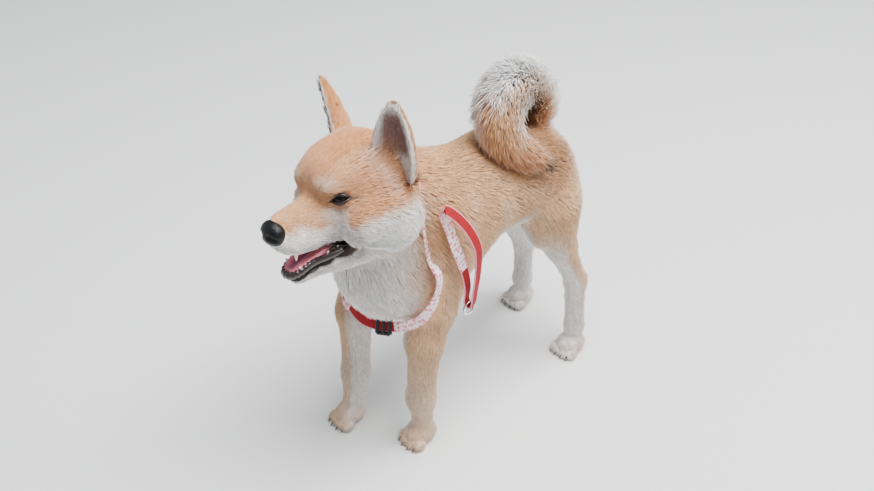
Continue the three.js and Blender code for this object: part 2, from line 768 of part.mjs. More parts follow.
const shiba = new THREE.Group();
for (const [name, piece] of Object.entries(nodes)) {
  const mesh = piece.getMesh();
  const geometry = new THREE.BufferGeometry();
  geometry.setAttribute('position', new THREE.BufferAttribute(new Float32Array(mesh.vertProperties), 3));
  geometry.setIndex(new THREE.BufferAttribute(new Uint32Array(mesh.triVerts), 1));
  geometry.computeVertexNormals();
  const key = Object.keys(looks).find((word) => name.includes(word));
  const color = looks[key] ?? colours.tan;
  const material = new THREE.MeshStandardMaterial({ color, roughness: 0.9, metalness: 0 });
  const object = new THREE.Mesh(geometry, material);
  object.name = name;
  shiba.add(object);
}

const box = new THREE.Box3().setFromObject(shiba);
shiba.position.set(-(box.min.x + box.max.x) / 2, -(box.min.y + box.max.y) / 2, -box.min.z);

export default shiba;
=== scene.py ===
# %% [markdown]
# # A shiba inu puppy in its harness
# The puppy stands on four small paws with its mouth open and its tail curled over its back. The
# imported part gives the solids, out to the tips of the coat. This lesson builds what the eye sees:
# one seamless skin inside them, a coat of solid tufts over it, wet eyes, a pebbled nose, a tongue,
# teeth, claws and a narrow webbing harness.

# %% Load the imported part
import math

import bpy
import numpy as np
import openvdb
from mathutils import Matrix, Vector


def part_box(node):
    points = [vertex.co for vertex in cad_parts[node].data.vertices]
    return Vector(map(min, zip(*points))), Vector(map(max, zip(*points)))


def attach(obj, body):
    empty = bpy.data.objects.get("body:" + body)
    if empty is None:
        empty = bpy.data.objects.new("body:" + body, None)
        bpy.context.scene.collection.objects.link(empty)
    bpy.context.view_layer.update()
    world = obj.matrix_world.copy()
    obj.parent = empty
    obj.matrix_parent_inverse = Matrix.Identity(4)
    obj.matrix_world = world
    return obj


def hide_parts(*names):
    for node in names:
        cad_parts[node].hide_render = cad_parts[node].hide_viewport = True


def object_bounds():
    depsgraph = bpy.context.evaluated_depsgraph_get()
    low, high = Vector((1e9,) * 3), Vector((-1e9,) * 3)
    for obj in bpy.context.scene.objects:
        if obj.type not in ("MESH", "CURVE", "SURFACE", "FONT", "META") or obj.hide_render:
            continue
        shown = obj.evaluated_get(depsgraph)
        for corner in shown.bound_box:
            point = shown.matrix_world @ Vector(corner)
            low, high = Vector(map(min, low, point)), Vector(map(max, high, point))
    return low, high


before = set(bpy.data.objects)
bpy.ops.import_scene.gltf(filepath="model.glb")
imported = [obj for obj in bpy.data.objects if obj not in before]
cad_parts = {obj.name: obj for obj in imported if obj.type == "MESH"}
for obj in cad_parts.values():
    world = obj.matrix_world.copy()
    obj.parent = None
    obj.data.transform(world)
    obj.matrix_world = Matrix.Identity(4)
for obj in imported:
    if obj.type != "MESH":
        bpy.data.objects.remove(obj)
solids_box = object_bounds()
print("nodes in the part:", len(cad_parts))

# %% [markdown]
# ## Two frames
# The puppy was designed in millimetres with its origin on the floor between its paws. The packed
# part is in metres and is centred on its own box. The nose is a plain ball on the solids, so the
# middle of its box tells how far the one frame lies from the other. Every shape below is worked
# out in design millimetres, and one function takes its points into the part's frame.

# %% From design millimetres to the part's metres
MM = 0.001


def turn_about(axis, angle):
    """The 3x3 matrix that turns by an angle about the x, y or z axis, by the right hand."""
    c, s = math.cos(angle), math.sin(angle)
    i, j = {"x": (1, 2), "y": (2, 0), "z": (0, 1)}[axis]
    matrix = np.eye(3)
    matrix[i, i] = matrix[j, j] = c
    matrix[i, j], matrix[j, i] = -s, s
    return matrix


HEAD_PLACE = np.array([10.0, -168.0, 306.0])
HEAD_PITCH, HEAD_ROLL, HEAD_YAW = (math.radians(a) for a in (-7, -8, -2))
HEAD_AXES = turn_about("z", HEAD_YAW) @ turn_about("x", HEAD_PITCH) @ turn_about("y", HEAD_ROLL)
NOSE_MIDDLE = np.array([0.0, -56.5, -21.5])
NOSE_RADII = np.array([12.5, 9.0, 10.5])


def from_head(points):
    """Points of the head's own frame, turned by its three angles and moved to its place."""
    return np.asarray(points, float) @ HEAD_AXES.T + HEAD_PLACE


def to_head(points):
    """The inverse of from_head: less the place, then turned back."""
    return (np.asarray(points, float) - HEAD_PLACE) @ HEAD_AXES


nose_low, nose_high = (np.array(corner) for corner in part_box("nose"))
SHIFT = (nose_low + nose_high) / 2 / MM - from_head(NOSE_MIDDLE)
SHIFT[2] = 0.0


def placed(points):
    """Design millimetres plus the shift, in metres."""
    return (np.asarray(points, float) + SHIFT) * MM


print("shift of the frame in mm:", SHIFT.round(2))

# %% [markdown]
# ## The camera
# The photograph was taken from above and ahead of the puppy's left shoulder, looking down by 35
# degrees, from about a metre away. The lens and place were solved from the four paws and the head.

# %% Camera
CAMERA_PLACE = (562.2, -566.8, 724.8)
CAMERA_LOOK = Vector((-0.6002, 0.5575, -0.5736))
SENSOR_WIDTH, LENS = 36.0, 41.19
camera_data = bpy.data.cameras.new("camera")
camera_data.sensor_width = SENSOR_WIDTH
camera_data.lens = LENS
camera = bpy.data.objects.new("camera", camera_data)
camera.location = placed(CAMERA_PLACE)
camera.rotation_euler = CAMERA_LOOK.to_track_quat("-Z", "Y").to_euler()
bpy.context.scene.collection.objects.link(camera)
bpy.context.scene.camera = camera
print("camera at", [round(c, 3) for c in camera.location])

# %% [markdown]
# ## Forms that melt together
# Flesh has no edges, so the body is described by a field: a function that is below zero inside
# the form and grows by one for each millimetre outwards. Balls and limbs are joined with a soft
# minimum, which fills the crease between two of them as muscle does.

# %% Balls, limbs and their soft union
def ball(middle, radii):
    """An ellipsoid: with q the point in radii from its middle, |q| (|q| - 1) over |q / radii|."""
    middle, radii = np.array(middle, float), np.array(radii, float)

    def field(p):
        q = (p - middle) / radii
        ratio = np.linalg.norm(q, axis=-1)
        slope = np.linalg.norm(q / radii, axis=-1)
        return ratio * (ratio - 1) / np.maximum(slope, 1e-9)

    return field


def limb(start, start_radius, end, end_radius):
    """A tapered rod: the distance to the nearest point of its line, less the radius there."""
    start, end = np.array(start, float), np.array(end, float)
    along = end - start

    def field(p):
        share = np.clip((p - start) @ along / (along @ along), 0, 1)
        nearest = start + share[..., None] * along
        radius = start_radius + (end_radius - start_radius) * share
        return np.linalg.norm(p - nearest, axis=-1) - radius

    return field


def soft_min(a, b, reach):
    """The smaller of two distances, less a quarter of reach times the square of their nearness."""
    near = np.maximum(reach - np.abs(a - b), 0) / reach
    return np.minimum(a, b) - near * near * reach / 4


def flesh(forms, reach):
    """One field from several, joined in turn by the soft minimum."""
    def field(p):
        distance = forms[0](p)
        for form in forms[1:]:
            distance = soft_min(distance, form(p), reach)
        return distance

    return field


def unit(v):
    """Each vector divided by its length."""
    return v / np.maximum(np.linalg.norm(v, axis=-1, keepdims=True), 1e-9)


def ease(value, low, high):
    """From 0 at low to 1 at high along the smooth step 3t^2 - 2t^3."""
    t = np.clip((value - low) / (high - low), 0, 1)
    return t * t * (3 - 2 * t)


# %% [markdown]
# ## The trunk and neck
# A puppy's trunk is a short barrel: ribs, breast, withers, belly, croup and rump, each an
# ellipsoid with three radii in millimetres, out to the tips of the coat.

# %% Trunk and neck
TRUNK_REACH = 26
trunk = flesh([
    ball((0, -54, 215), (56, 68, 70)), ball((0, -98, 188), (48, 48, 55)),
    ball((0, -58, 254), (38, 44, 32)), ball((0, 14, 232), (52, 68, 51)),
    ball((0, 58, 230), (51, 56, 44)), ball((0, 82, 208), (49, 47, 52)),
], TRUNK_REACH)
neck = flesh([limb((2, -84, 236), 56, (8, -132, 286), 47), ball((3, -122, 214), (46, 38, 50))], 18)
body = flesh([trunk, neck], TRUNK_REACH)

# %% [markdown]
# ## The head
# The skull is broad and the muzzle short and wedge-shaped. The head has its own frame that looks
# along -Y from between the eyes, so both sides come from one list. The mouth is a wedge that opens
# from its corners to the front, with the lower jaw below it.

# %% Head and lower jaw
BOTH_SIDES = (1, -1)


def paired(middle, radii):
    """The same ball on the left and on the right."""
    return [ball((side * middle[0], middle[1], middle[2]), radii) for side in BOTH_SIDES]


skull_and_muzzle = flesh([
    ball((0, 27, 6), (46, 40, 39)), ball((0, 3, 15), (28, 27, 23)),
    *paired((31, 16, -20), (21, 29, 25)), *paired((35, 36, -24), (20, 25, 29)),
    *paired((14, -14, 9), (10, 8, 7)), limb((0, -6, -17), 22, (0, -45, -26), 13.5),
    ball((0, -34, -13), (10, 24, 7)), *paired((9, -34, -32), (9, 20, 8)),
], 12)
jaw = flesh([ball((0, 10, -47), (29, 36, 21)), limb((0, -8, -52), 17, (0, -36.5, -61), 10.5)], 8)

MOUTH_CORNER = np.array([3.0, -36.0])
UPPER_LIP_SLOPE = (43 - 36) / (-46 - 3)
LOWER_LIP_SLOPE = (-60 + 36) / (-46 - 3)


def mouth_wedge(h):
    """Below zero between the lips: the larger of the heights above the upper lip's line and
    below the lower lip's line, which both leave the corner of the mouth."""
    forward = h[..., 1] - MOUTH_CORNER[0]
    above_upper = h[..., 2] - (MOUTH_CORNER[1] - UPPER_LIP_SLOPE * forward)
    below_lower = MOUTH_CORNER[1] + LOWER_LIP_SLOPE * forward - h[..., 2]
    return np.maximum(above_upper, below_lower) * 0.92


# %% [markdown]
# ## The ears
# A prick ear is a tall cup with a rounded tip, open to the front and side. Its outline is a
# radius for each height, and a second, smaller cup set towards the opening is taken out of it.

# %% Ears
EAR_ROOT, EAR_TIP = np.array([36.0, 35, 24]), np.array([46.0, 27, 77])
EAR_LENGTH = np.linalg.norm(EAR_TIP - EAR_ROOT)
EAR_HALF_WIDTH, EAR_FLATNESS, EAR_WALL = 19.5, 0.7, 3.4
EAR_UP = (EAR_TIP - EAR_ROOT) / EAR_LENGTH
EAR_FRONT = np.array([0.5, -0.86, 0]) - EAR_UP * (np.array([0.5, -0.86, 0]) @ EAR_UP)
EAR_FRONT /= np.linalg.norm(EAR_FRONT)
EAR_ACROSS = np.cross(EAR_UP, EAR_FRONT)
EAR_HEIGHTS = np.array([-16, 0, 0.26, 0.52, 0.75, 0.91, 0.985, 1.0])
EAR_HEIGHTS[1:] *= EAR_LENGTH
EAR_SHARES = np.array([0.9, 1, 0.94, 0.78, 0.54, 0.3, 0.12, 0.0])


def ear_frame(h, side):
    """Across, front and up of an ear, of points in the head's frame."""
    q = h * np.array([side, 1, 1]) - EAR_ROOT
    return q @ EAR_ACROSS, q @ EAR_FRONT, q @ EAR_UP


def ear_cup(h, side):
    """Outer cup less inner cup. Each is the flattened distance from the ear's axis, less the
    radius that its outline has at that height."""
    across, front, up = ear_frame(h, side)
    outline = np.interp(up, EAR_HEIGHTS, EAR_SHARES, left=0.9, right=0)
    outer = np.hypot(across, front / EAR_FLATNESS) - EAR_HALF_WIDTH * outline
    outer = np.maximum(outer * 0.8, np.maximum(up - EAR_LENGTH, EAR_HEIGHTS[0] - up))
    inner_up, inner_front = up - 3, front - EAR_HALF_WIDTH * EAR_FLATNESS * 0.52
    inner_outline = np.interp(inner_up * 1.06, EAR_HEIGHTS, EAR_SHARES, left=0.9, right=0)
    inner = np.hypot(across, inner_front / EAR_FLATNESS) - (EAR_HALF_WIDTH - EAR_WALL) * inner_outline
    return np.maximum(outer, -inner * 0.8)


# %% [markdown]
# ## The legs
# Each leg runs through its joints from the shoulder or hip to the paw. The left and right legs are
# listed apart, because the puppy stands with its feet staggered.

# %% Legs and paws
LEGS = {
    "fore_left": [(42, -88, 158), (40, -97, 128), (38, -101, 58), (36, -97, 12)],
    "fore_right": [(-42, -104, 158), (-39, -115, 128), (-33, -123, 58), (-32, -131, 12)],
    "hind_left": [(36, 74, 198), (43, 84, 150), (46, 110, 96), (48, 113, 34), (48.5, 113, 12)],
    "hind_right": [(-36, 84, 194), (-43, 98, 146), (-46, 131, 88), (-48, 134, 34), (-48.5, 136, 12)],
}
LEG_RADII = {"fore": [23, 19, 13, 11.5], "hind": [31, 18, 11.5, 10, 10]}
LEG_REACH = {"fore": 12, "hind": 9}
# Each muscle's place from the left leg's first joint, and its radii
MUSCLES = {"fore": ((-1, 6, 28), (22, 34, 44)), "hind": ((0, 2, -6), (23, 38, 46))}
PAW = {"length": 17, "width": 14, "height": 12, "forward": 7, "toe": 6, "reach": 13, "spread": 0.55}
TOE_SPREADS = PAW["spread"] * (np.arange(4) - 1.5)


def toe_places(paw):
    """Each toe's middle: fanned by its angle, and a little further back at the sides."""
    reach = PAW["reach"] - np.abs(TOE_SPREADS) * 3 + PAW["forward"] * 0.5
    return np.stack([paw[0] + np.sin(TOE_SPREADS) * PAW["width"], paw[1] - reach,
                     np.full(4, PAW["toe"] - 0.8)], axis=1)


def muscle(name):
    """The ball of a shoulder's or a thigh's muscle, at the top of its leg."""
    kind, side = name.split("_")
    place, radii = MUSCLES[kind]
    return ball(np.array(LEGS[name][0]) + np.array(place) * [1 if side == "left" else -1, 1, 1], radii)


def leg_field(name):
    """Limbs from joint to joint, with the shoulder's or thigh's muscle on top."""
    kind = name.split("_")[0]
    joints, radii = LEGS[name], LEG_RADII[kind]
    forms = [muscle(name)]
    for i in range(len(joints) - 1):
        forms.append(limb(joints[i], radii[i], joints[i + 1], radii[i + 1]))
    return flesh(forms, LEG_REACH[kind])


def paw_field(name):
    """A low ball for the pad and instep, and four toes ahead of it."""
    paw = LEGS[name][-1]
    instep = ball((paw[0], paw[1] - PAW["forward"] * 0.4, PAW["height"] - 1.5),
                  (PAW["width"], PAW["length"], PAW["height"]))
    toes = [ball(toe, (PAW["toe"] - 0.4, PAW["toe"] + 2, PAW["toe"])) for toe in toe_places(paw)]
    return instep, flesh(toes, 1.2)


legs = {name: leg_field(name) for name in LEGS}
paws = {name: paw_field(name) for name in LEGS}

# %% [markdown]
# ## The tail
# The brush curls up from the rump, over the back and down on the left. Its middle line is a smooth
# curve through eight points, and its coat is a radius at each of them.

# %% Tail curve
TAIL_POINTS = np.array([(0, 74, 248), (0, 84, 281), (0, 76, 307), (3, 51, 322),
                        (10, 25, 315), (22, 16, 294), (37, 26, 276), (52, 42, 264)], float)
TAIL_RADII = np.array([19, 22, 25, 28, 28, 24, 17, 5], float)


def through(points, closed=False, power=0.0, steps=24):
    """A smooth curve through points: cubic pieces whose end slopes come from the neighbours. The
    knots are spaced by chord length to a power, 0 for even spacing and 0.5 for a calmer curve."""
    if closed:
        p = np.concatenate([points[-1:], points, points[:2]])
    else:
        p = np.concatenate([[2 * points[0] - points[1]], points, [2 * points[-1] - points[-2]]])
    gaps = np.linalg.norm(np.diff(p, axis=0), axis=1) ** power
    t = np.linspace(0, 1, steps, endpoint=False)[:, None]
    pieces = []
    for i in range(len(p) - 3):
        a, b, c, d = p[i:i + 4]
        g0, g1, g2 = gaps[i:i + 3]
        leave = ((b - a) / g0 - (c - a) / (g0 + g1) + (c - b) / g1) * g1
        arrive = ((c - b) / g1 - (d - b) / (g1 + g2) + (d - c) / g2) * g1
        pieces.append(b + leave * t + (3 * (c - b) - 2 * leave - arrive) * t ** 2
                      + (2 * (b - c) + leave + arrive) * t ** 3)
    line = np.concatenate(pieces)
    return np.concatenate([line, line[:1] if closed else p[-2:-1]])


def evenly(line, count):
    """The same line with count points at even distances along it, and its length."""
    along = np.concatenate([[0], np.cumsum(np.linalg.norm(np.diff(line, axis=0), axis=1))])
    places = np.linspace(0, along[-1], count)
    return np.stack([np.interp(places, along, line[:, k]) for k in range(3)], axis=1), along[-1]


TAIL_STEPS = 48
tail_line, tail_length = evenly(through(TAIL_POINTS), TAIL_STEPS)
tail_shares = np.linspace(0, 1, TAIL_STEPS)
tail_radii = np.interp(tail_shares, np.linspace(0, 1, len(TAIL_RADII)), TAIL_RADII)
tail_along = np.gradient(tail_line, axis=0)
tail_along /= np.linalg.norm(tail_along, axis=1, keepdims=True)


def nearest_on_tail(p):
    """Index of the nearest sample of the tail's line for each point, and how far it is."""
    gaps = np.linalg.norm(p[..., None, :] - tail_line, axis=-1)
    place = gaps.argmin(-1)
    return place, np.take_along_axis(gaps, place[..., None], -1)[..., 0]


def tail_brush(p, core):
    """Distance to the tail's line less a share of the brush's radius at the nearest place."""
    place, gap = nearest_on_tail(p)
    return gap - tail_radii[place] * core


print("tail length in mm:", round(tail_length))

# %% [markdown]
# ## How deep the skin lies
# The solids reach to the tips of the coat. The skin lies inside them by the coat's depth, which is
# under a millimetre on the nose and paws, a few on the cheeks, more on the neck and rump, and half
# the radius in the brush of the tail.

# %% Depth of the coat on each form
MUZZLE_DEPTH, SKULL_DEPTH, JAW_DEPTH, EAR_DEPTH = 0.9, 3.6, 1.2, 0.6
TRUNK_DEPTH, NECK_DEPTH, LEG_DEPTH, SHIN_DEPTH, PAW_DEPTH = 6.0, 7.5, 4.0, 2.0, 1.0
TAIL_CORE = 0.5
SOLE_HEIGHT = 1.2
MOUTH_HOLLOW, MOUTH_ROOF = ball((0, -20, -46), (13, 32, 13)), -33
EYE_RADIUS, LID_THICKNESS = 8.6, 1.0
EYE_HALF_SLIT, EYE_UPPER, EYE_LOWER = 8.6, 4.0, 2.8
EYE_TILT = math.radians(10)
EYE_OUTWARD = np.array([0.6, -0.79, 0.06])
EYE_OUTWARD /= np.linalg.norm(EYE_OUTWARD)


def eye_centre(name):
    """The middle of the eye's own box on the solids, taken back to the head's frame."""
    low, high = (np.array(corner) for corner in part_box(name))
    return to_head((low + high) / 2 / MM - SHIFT)


EYE_SIDES = {"eye_left": 1, "eye_right": -1}
eye_centres = {name: eye_centre(name) for name in EYE_SIDES}


def eye_axes(side):
    """Level, up and out of an eye, turned by the slit's tilt."""
    out = EYE_OUTWARD * [side, 1, 1]
    level = np.cross([0, 0, 1.0], out)
    level /= np.linalg.norm(level)
    up = np.cross(out, level)
    c, s = math.cos(side * EYE_TILT), math.sin(side * EYE_TILT)
    return level * c + up * s, up * c - level * s, out


def lid_opening(h, name):
    """Below zero between the lids: two parabolas over the slit's length, ahead of the eye."""
    level, up, out = eye_axes(EYE_SIDES[name])
    q = h - eye_centres[name]
    across, rise, ahead = q @ level, q @ up, q @ out
    bow = 1 - (across / EYE_HALF_SLIT) ** 2
    return np.maximum(np.maximum(rise - EYE_UPPER * bow, -EYE_LOWER * bow - rise) * 0.8, -ahead)


def head_skin(h):
    """Skull, muzzle and jaw less the coat's depth, with the eyeballs' bulge, and with the mouth,
    the lids' openings and the nose's seat taken out."""
    depth = MUZZLE_DEPTH + (SKULL_DEPTH - MUZZLE_DEPTH) * ease(h[..., 1], -14, 22)
    upper = skull_and_muzzle(h) + depth
    lower = jaw(h) + JAW_DEPTH
    skin = soft_min(upper, lower, 5)
    for name, centre in eye_centres.items():
        skin = soft_min(skin, ball(centre, [EYE_RADIUS + LID_THICKNESS] * 3)(h), 2.5)
        skin = np.maximum(skin, -lid_opening(h, name))
    skin = np.maximum(skin, -mouth_wedge(h))
    skin = np.maximum(skin, -np.maximum(MOUTH_HOLLOW(h), h[..., 2] - MOUTH_ROOF))
    return np.maximum(skin, -ball(NOSE_MIDDLE, NOSE_RADII - 1.5)(h))


def whole_skin(p):
    """Every part's field at its own depth, joined softly where one flows into the next."""
    skin = soft_min(trunk(p) + TRUNK_DEPTH, neck(p) + NECK_DEPTH, TRUNK_REACH)
    h = to_head(p)
    for name in LEGS:
        depth = SHIN_DEPTH + (LEG_DEPTH - SHIN_DEPTH) * ease(p[..., 2], 70, 150)
        instep, toes = paws[name]
        foot = soft_min(instep(p) + PAW_DEPTH, toes(p) + PAW_DEPTH * 0.7, 1.6)
        leg = soft_min(legs[name](p) + depth, foot, 5)
        skin = soft_min(skin, leg, 10)
    skin = soft_min(skin, tail_brush(p, TAIL_CORE), 8)
    head = head_skin(h)
    for side in BOTH_SIDES:
        head = soft_min(head, ear_cup(h, side) + EAR_DEPTH, 3)
    skin = soft_min(skin, head, 9)
    skin = np.maximum(skin, -np.maximum(mouth_wedge(h), h[..., 1] - 6))
    return np.maximum(skin, SOLE_HEIGHT - p[..., 2])


# %% [markdown]
# ## Meshing the skin
# The field is measured on a grid of points 1.4 mm apart, but only near the surface, which a first,
# coarse grid finds. A volume grid then turns the zero level into faces, larger where it is flat.

# %% One seamless skin
SKIN_STEP, COARSE = 1.4, 6


def surface_of(field, low, high, step, adaptivity, band=9.0):
    """Field values on a grid of the given step, where a coarse grid finds them within the band of
    zero, and the zero level of those values as points, triangles and quads."""
    counts = np.ceil((np.array(high) - low) / (step * COARSE)).astype(int)
    axes = [low[k] + step * (np.arange(counts[k]) * COARSE + (COARSE - 1) / 2) for k in range(3)]
    coarse = field(np.stack(np.meshgrid(*axes, indexing="ij"), -1).reshape(-1, 3))
    near = np.abs(coarse) < band
    values = np.repeat(np.sign(coarse) * band, COARSE ** 3).reshape(*counts, COARSE, COARSE, COARSE)
    inner = np.stack(np.meshgrid(*[np.arange(COARSE) * step] * 3, indexing="ij"), -1)
    corners = np.stack(np.meshgrid(*[low[k] + step * COARSE * np.arange(counts[k]) for k in range(3)],
                                   indexing="ij"), -1).reshape(-1, 3)[near]
    blocks = values.reshape(-1, COARSE, COARSE, COARSE)
    chosen = np.flatnonzero(near)
    for part in np.array_split(np.arange(len(chosen)), max(1, len(chosen) // 400)):
        points = corners[part][:, None, None, None, :] + inner
        blocks[chosen[part]] = field(points)
    full = blocks.reshape(*counts, COARSE, COARSE, COARSE).transpose(0, 3, 1, 4, 2, 5)
    full = full.reshape(counts * COARSE)
    grid = openvdb.FloatGrid(band)
    grid.copyFromArray(np.ascontiguousarray(full, np.float32))
    points, triangles, quads = grid.convertToPolygons(isovalue=0.0, adaptivity=adaptivity)
    return points * step + low, triangles.astype(int), quads.astype(int)


def new_piece(name, points, faces, uv=None, uv_name="weave"):
    """A mesh object from points in design millimetres, lists of faces and one UV per corner."""
    mesh = bpy.data.meshes.new(name)
    groups = [faces] if isinstance(faces, np.ndarray) else faces
    corners = np.concatenate([f.reshape(-1) for f in groups]).astype(np.int32)
    sizes = np.concatenate([np.full(len(f), f.shape[1]) for f in groups]).astype(np.int32)
    mesh.vertices.add(len(points))
    mesh.vertices.foreach_set("co", placed(points).astype(np.float32).ravel())
    mesh.loops.add(len(corners))
    mesh.loops.foreach_set("vertex_index", corners)
    mesh.polygons.add(len(sizes))
    mesh.polygons.foreach_set("loop_start", (np.cumsum(sizes) - sizes).astype(np.int32))
    mesh.polygons.foreach_set("use_smooth", np.ones(len(sizes), bool))
    if uv is not None:
        layer = mesh.uv_layers.new(name=uv_name)
        layer.data.foreach_set("uv", np.asarray(uv, np.float32).ravel())
    mesh.update(calc_edges=True)
    mesh.validate()
    piece = bpy.data.objects.new(name, mesh)
    bpy.context.scene.collection.objects.link(piece)
    return piece


def signed_volume(points, triangles):
    """Sum over the triangles of a . (b x c) / 6, above zero where faces point outwards."""
    a, b, c = (points[triangles[:, k]] for k in range(3))
    return np.einsum("ij,ij->i", a, np.cross(b, c)).sum() / 6


def all_as_triangles(groups):
    """Groups of triangles and quads as one array, with each quad cut along its first diagonal."""
    three = [f for f in groups if f.shape[1] == 3]
    four = [f for f in groups if f.shape[1] == 4]
    return np.concatenate(three + [f[:, [0, 1, 2]] for f in four] + [f[:, [0, 2, 3]] for f in four])


def facing_out(points, groups):
    """The groups of faces and all their triangles, turned round if they enclose less than nothing."""
    triangles = all_as_triangles(groups)
    if signed_volume(points, triangles) < 0:
        return [f[:, ::-1] for f in groups], triangles[:, ::-1]
    return groups, triangles


LOW_CORNER = np.array([-75.0, -262.0, -3.0])
HIGH_CORNER = np.array([75.0, 190.0, 402.0])
SKIN_FLATNESS = 0.15
skin_points, *skin_faces = surface_of(whole_skin, LOW_CORNER, HIGH_CORNER, SKIN_STEP, SKIN_FLATNESS)
skin_faces, all_triangles = facing_out(skin_points, skin_faces)
print("skin:", len(skin_points), "points,", len(all_triangles), "triangles")


def outward(field, p, small=0.6):
    """The unit slope of a field, from its change over a small step along each axis."""
    slope = np.stack([field(p + step) - field(p - step) for step in np.eye(3) * small], -1)
    return unit(slope)


def corner_normals(points, triangles):
    """The sum of the faces' area vectors at each point, made one long."""
    a, b, c = (points[triangles[:, k]] for k in range(3))
    area = np.cross(b - a, c - a)
    total = np.stack([sum(np.bincount(triangles[:, k], area[:, i], len(points)) for k in range(3))
                      for i in range(3)], -1)
    return total / np.maximum(np.linalg.norm(total, axis=1, keepdims=True), 1e-12)


skin_normals = corner_normals(skin_points, all_triangles)

# %% [markdown]
# ## Which part a point belongs to
# Colour, length and lie of the coat all change from part to part without a seam. Each point gets a
# share of every part, which falls off with its distance to that part.

# %% Shares of the parts
PARTS = ("trunk", "neck", "head", "ears", "forelegs", "hindlegs", "tail")
BLEND_MM = 5.0


def part_shares(p):
    """exp(-distance / blend) of each part, divided by their sum."""
    h = to_head(p)
    distances = np.stack([
        trunk(p), neck(p), np.minimum(skull_and_muzzle(h), jaw(h)),
        np.minimum(ear_cup(h, 1), ear_cup(h, -1)) - 1.5,
        np.minimum(soft_min(legs["fore_left"](p), paws["fore_left"][0](p), 4),
                   soft_min(legs["fore_right"](p), paws["fore_right"][0](p), 4)),
        np.minimum(soft_min(legs["hind_left"](p), paws["hind_left"][0](p), 4),
                   soft_min(legs["hind_right"](p), paws["hind_right"][0](p), 4)),
        tail_brush(p, 1.0),
    ], -1)
    shares = np.exp(-np.clip(distances - distances.min(-1, keepdims=True), 0, 60) / BLEND_MM)
    return shares / shares.sum(-1, keepdims=True)


# %% [markdown]
# ## Markings
# The coat is red tan above and cream below: cream cheeks, throat, chest, belly and inner legs, pale
# spots over the eyes, and a brush that is cream round a tan middle and ends in rust and black, with
# painted shade inside its curl. The colours are worked out from the place on the body, so that skin
# and coat carry the same ones.

# %% Coat colours
def linear(code):
    """An sRGB hex colour as linear numbers, by the sRGB curve."""
    c = np.array([int(code[i:i + 2], 16) for i in (1, 3, 5)]) / 255
    return np.where(c <= 0.04045, c / 12.92, ((c + 0.055) / 1.055) ** 2.4)


COAT = {name: linear(code) for name, code in {
    "tan": "#d29663", "red_tan": "#cd834a", "deep_tan": "#b4743f", "fawn": "#e4b88e",
    "cream": "#f5ede3", "white": "#fbf8f5", "grey": "#bfb6ae", "dark": "#2e2420",
    "rust": "#b87448", "lip": "#1d1614", "mouth": "#7d4a4c", "ear_pink": "#6a342f",
}.items()}


def mixed(colour, name, share):
    """The colour moved towards a named one by a share for each point."""
    return colour + (COAT[name] - colour) * np.clip(share, 0, 1)[..., None]


def all_over(name, points):
    """A named colour for every point."""
    return np.broadcast_to(COAT[name], points.shape)


def mirrored(vector, side):
    """A vector of the left side for each point, with its x turned round on the right."""
    return np.stack([side * vector[0], np.full_like(side, vector[1]), np.full_like(side, vector[2])], -1)


def waves(p, length, seed):
    """Smooth variation between -1 and 1: three crossed sine waves of about one length."""
    q = p * (2 * math.pi / length)
    turns = np.random.default_rng(seed).normal(size=(3, 3))
    return np.sin(q @ turns.T + seed).mean(-1) * 1.6


def lower_lip_share(h):
    """One in the bare dark band below the lower lip's line, ahead of the corner of the mouth."""
    forward = h[..., 1] - MOUTH_CORNER[0]
    below = MOUTH_CORNER[1] + LOWER_LIP_SLOPE * forward - h[..., 2]
    return ease(below, -3, -1) * ease(-below, -10.5, -8.5) * ease(-forward, -4, 1)


def head_colour(h):
    """Red tan crown, cream cheeks and muzzle sides, pale brows, dark line behind the eye."""
    x, y, z = np.abs(h[..., 0]), h[..., 1], h[..., 2]
    colour = all_over("red_tan", h)
    colour = mixed(colour, "fawn", 0.45 * ease(-y, -5, 40) * ease(z, -30, -12))
    cheek_line = -20 + 0.22 * np.clip(y + 30, 0, 70) + 2.5 * waves(h, 22, 3)
    colour = mixed(colour, "cream", ease(cheek_line - z, -4, 6))
    colour = mixed(colour, "white", 0.8 * ease(cheek_line - z, 6, 18) * ease(y, -20, 10))
    brow = np.linalg.norm((np.stack([x, y, z], -1) - (15, -14, 13)) / (8, 9, 4.5), axis=-1)
    colour = mixed(colour, "cream", 0.55 * ease(-brow, -1.7, -0.4))
    under = np.linalg.norm((np.stack([x, y, z], -1) - (21, -12, -12)) / (9, 12, 5), axis=-1)
    colour = mixed(colour, "cream", 0.6 * ease(-under, -1.8, -0.5))
    colour = mixed(colour, "fawn", 0.35 * ease(-np.abs(x - 24), -9, -3) * ease(z, 6, 24))
    for name, centre in eye_centres.items():
        side = EYE_SIDES[name]
        level, up, out = eye_axes(side)
        q = h - centre
        behind, rise = q @ level * side, q @ up
        rim = np.maximum(lid_opening(h, name), -0.5)
        colour = mixed(colour, "dark", ease(-rim, -2.6, -0.9) * (q @ out > 0))
        corner_line = (ease(behind, 7, 9) * ease(-behind, -15, -11)
                       * ease(-np.abs(rise + 0.6), -1.8, -0.7))
        colour = mixed(colour, "dark", 0.75 * corner_line * (q @ out > 0))
    return mixed(colour, "lip", lower_lip_share(h))


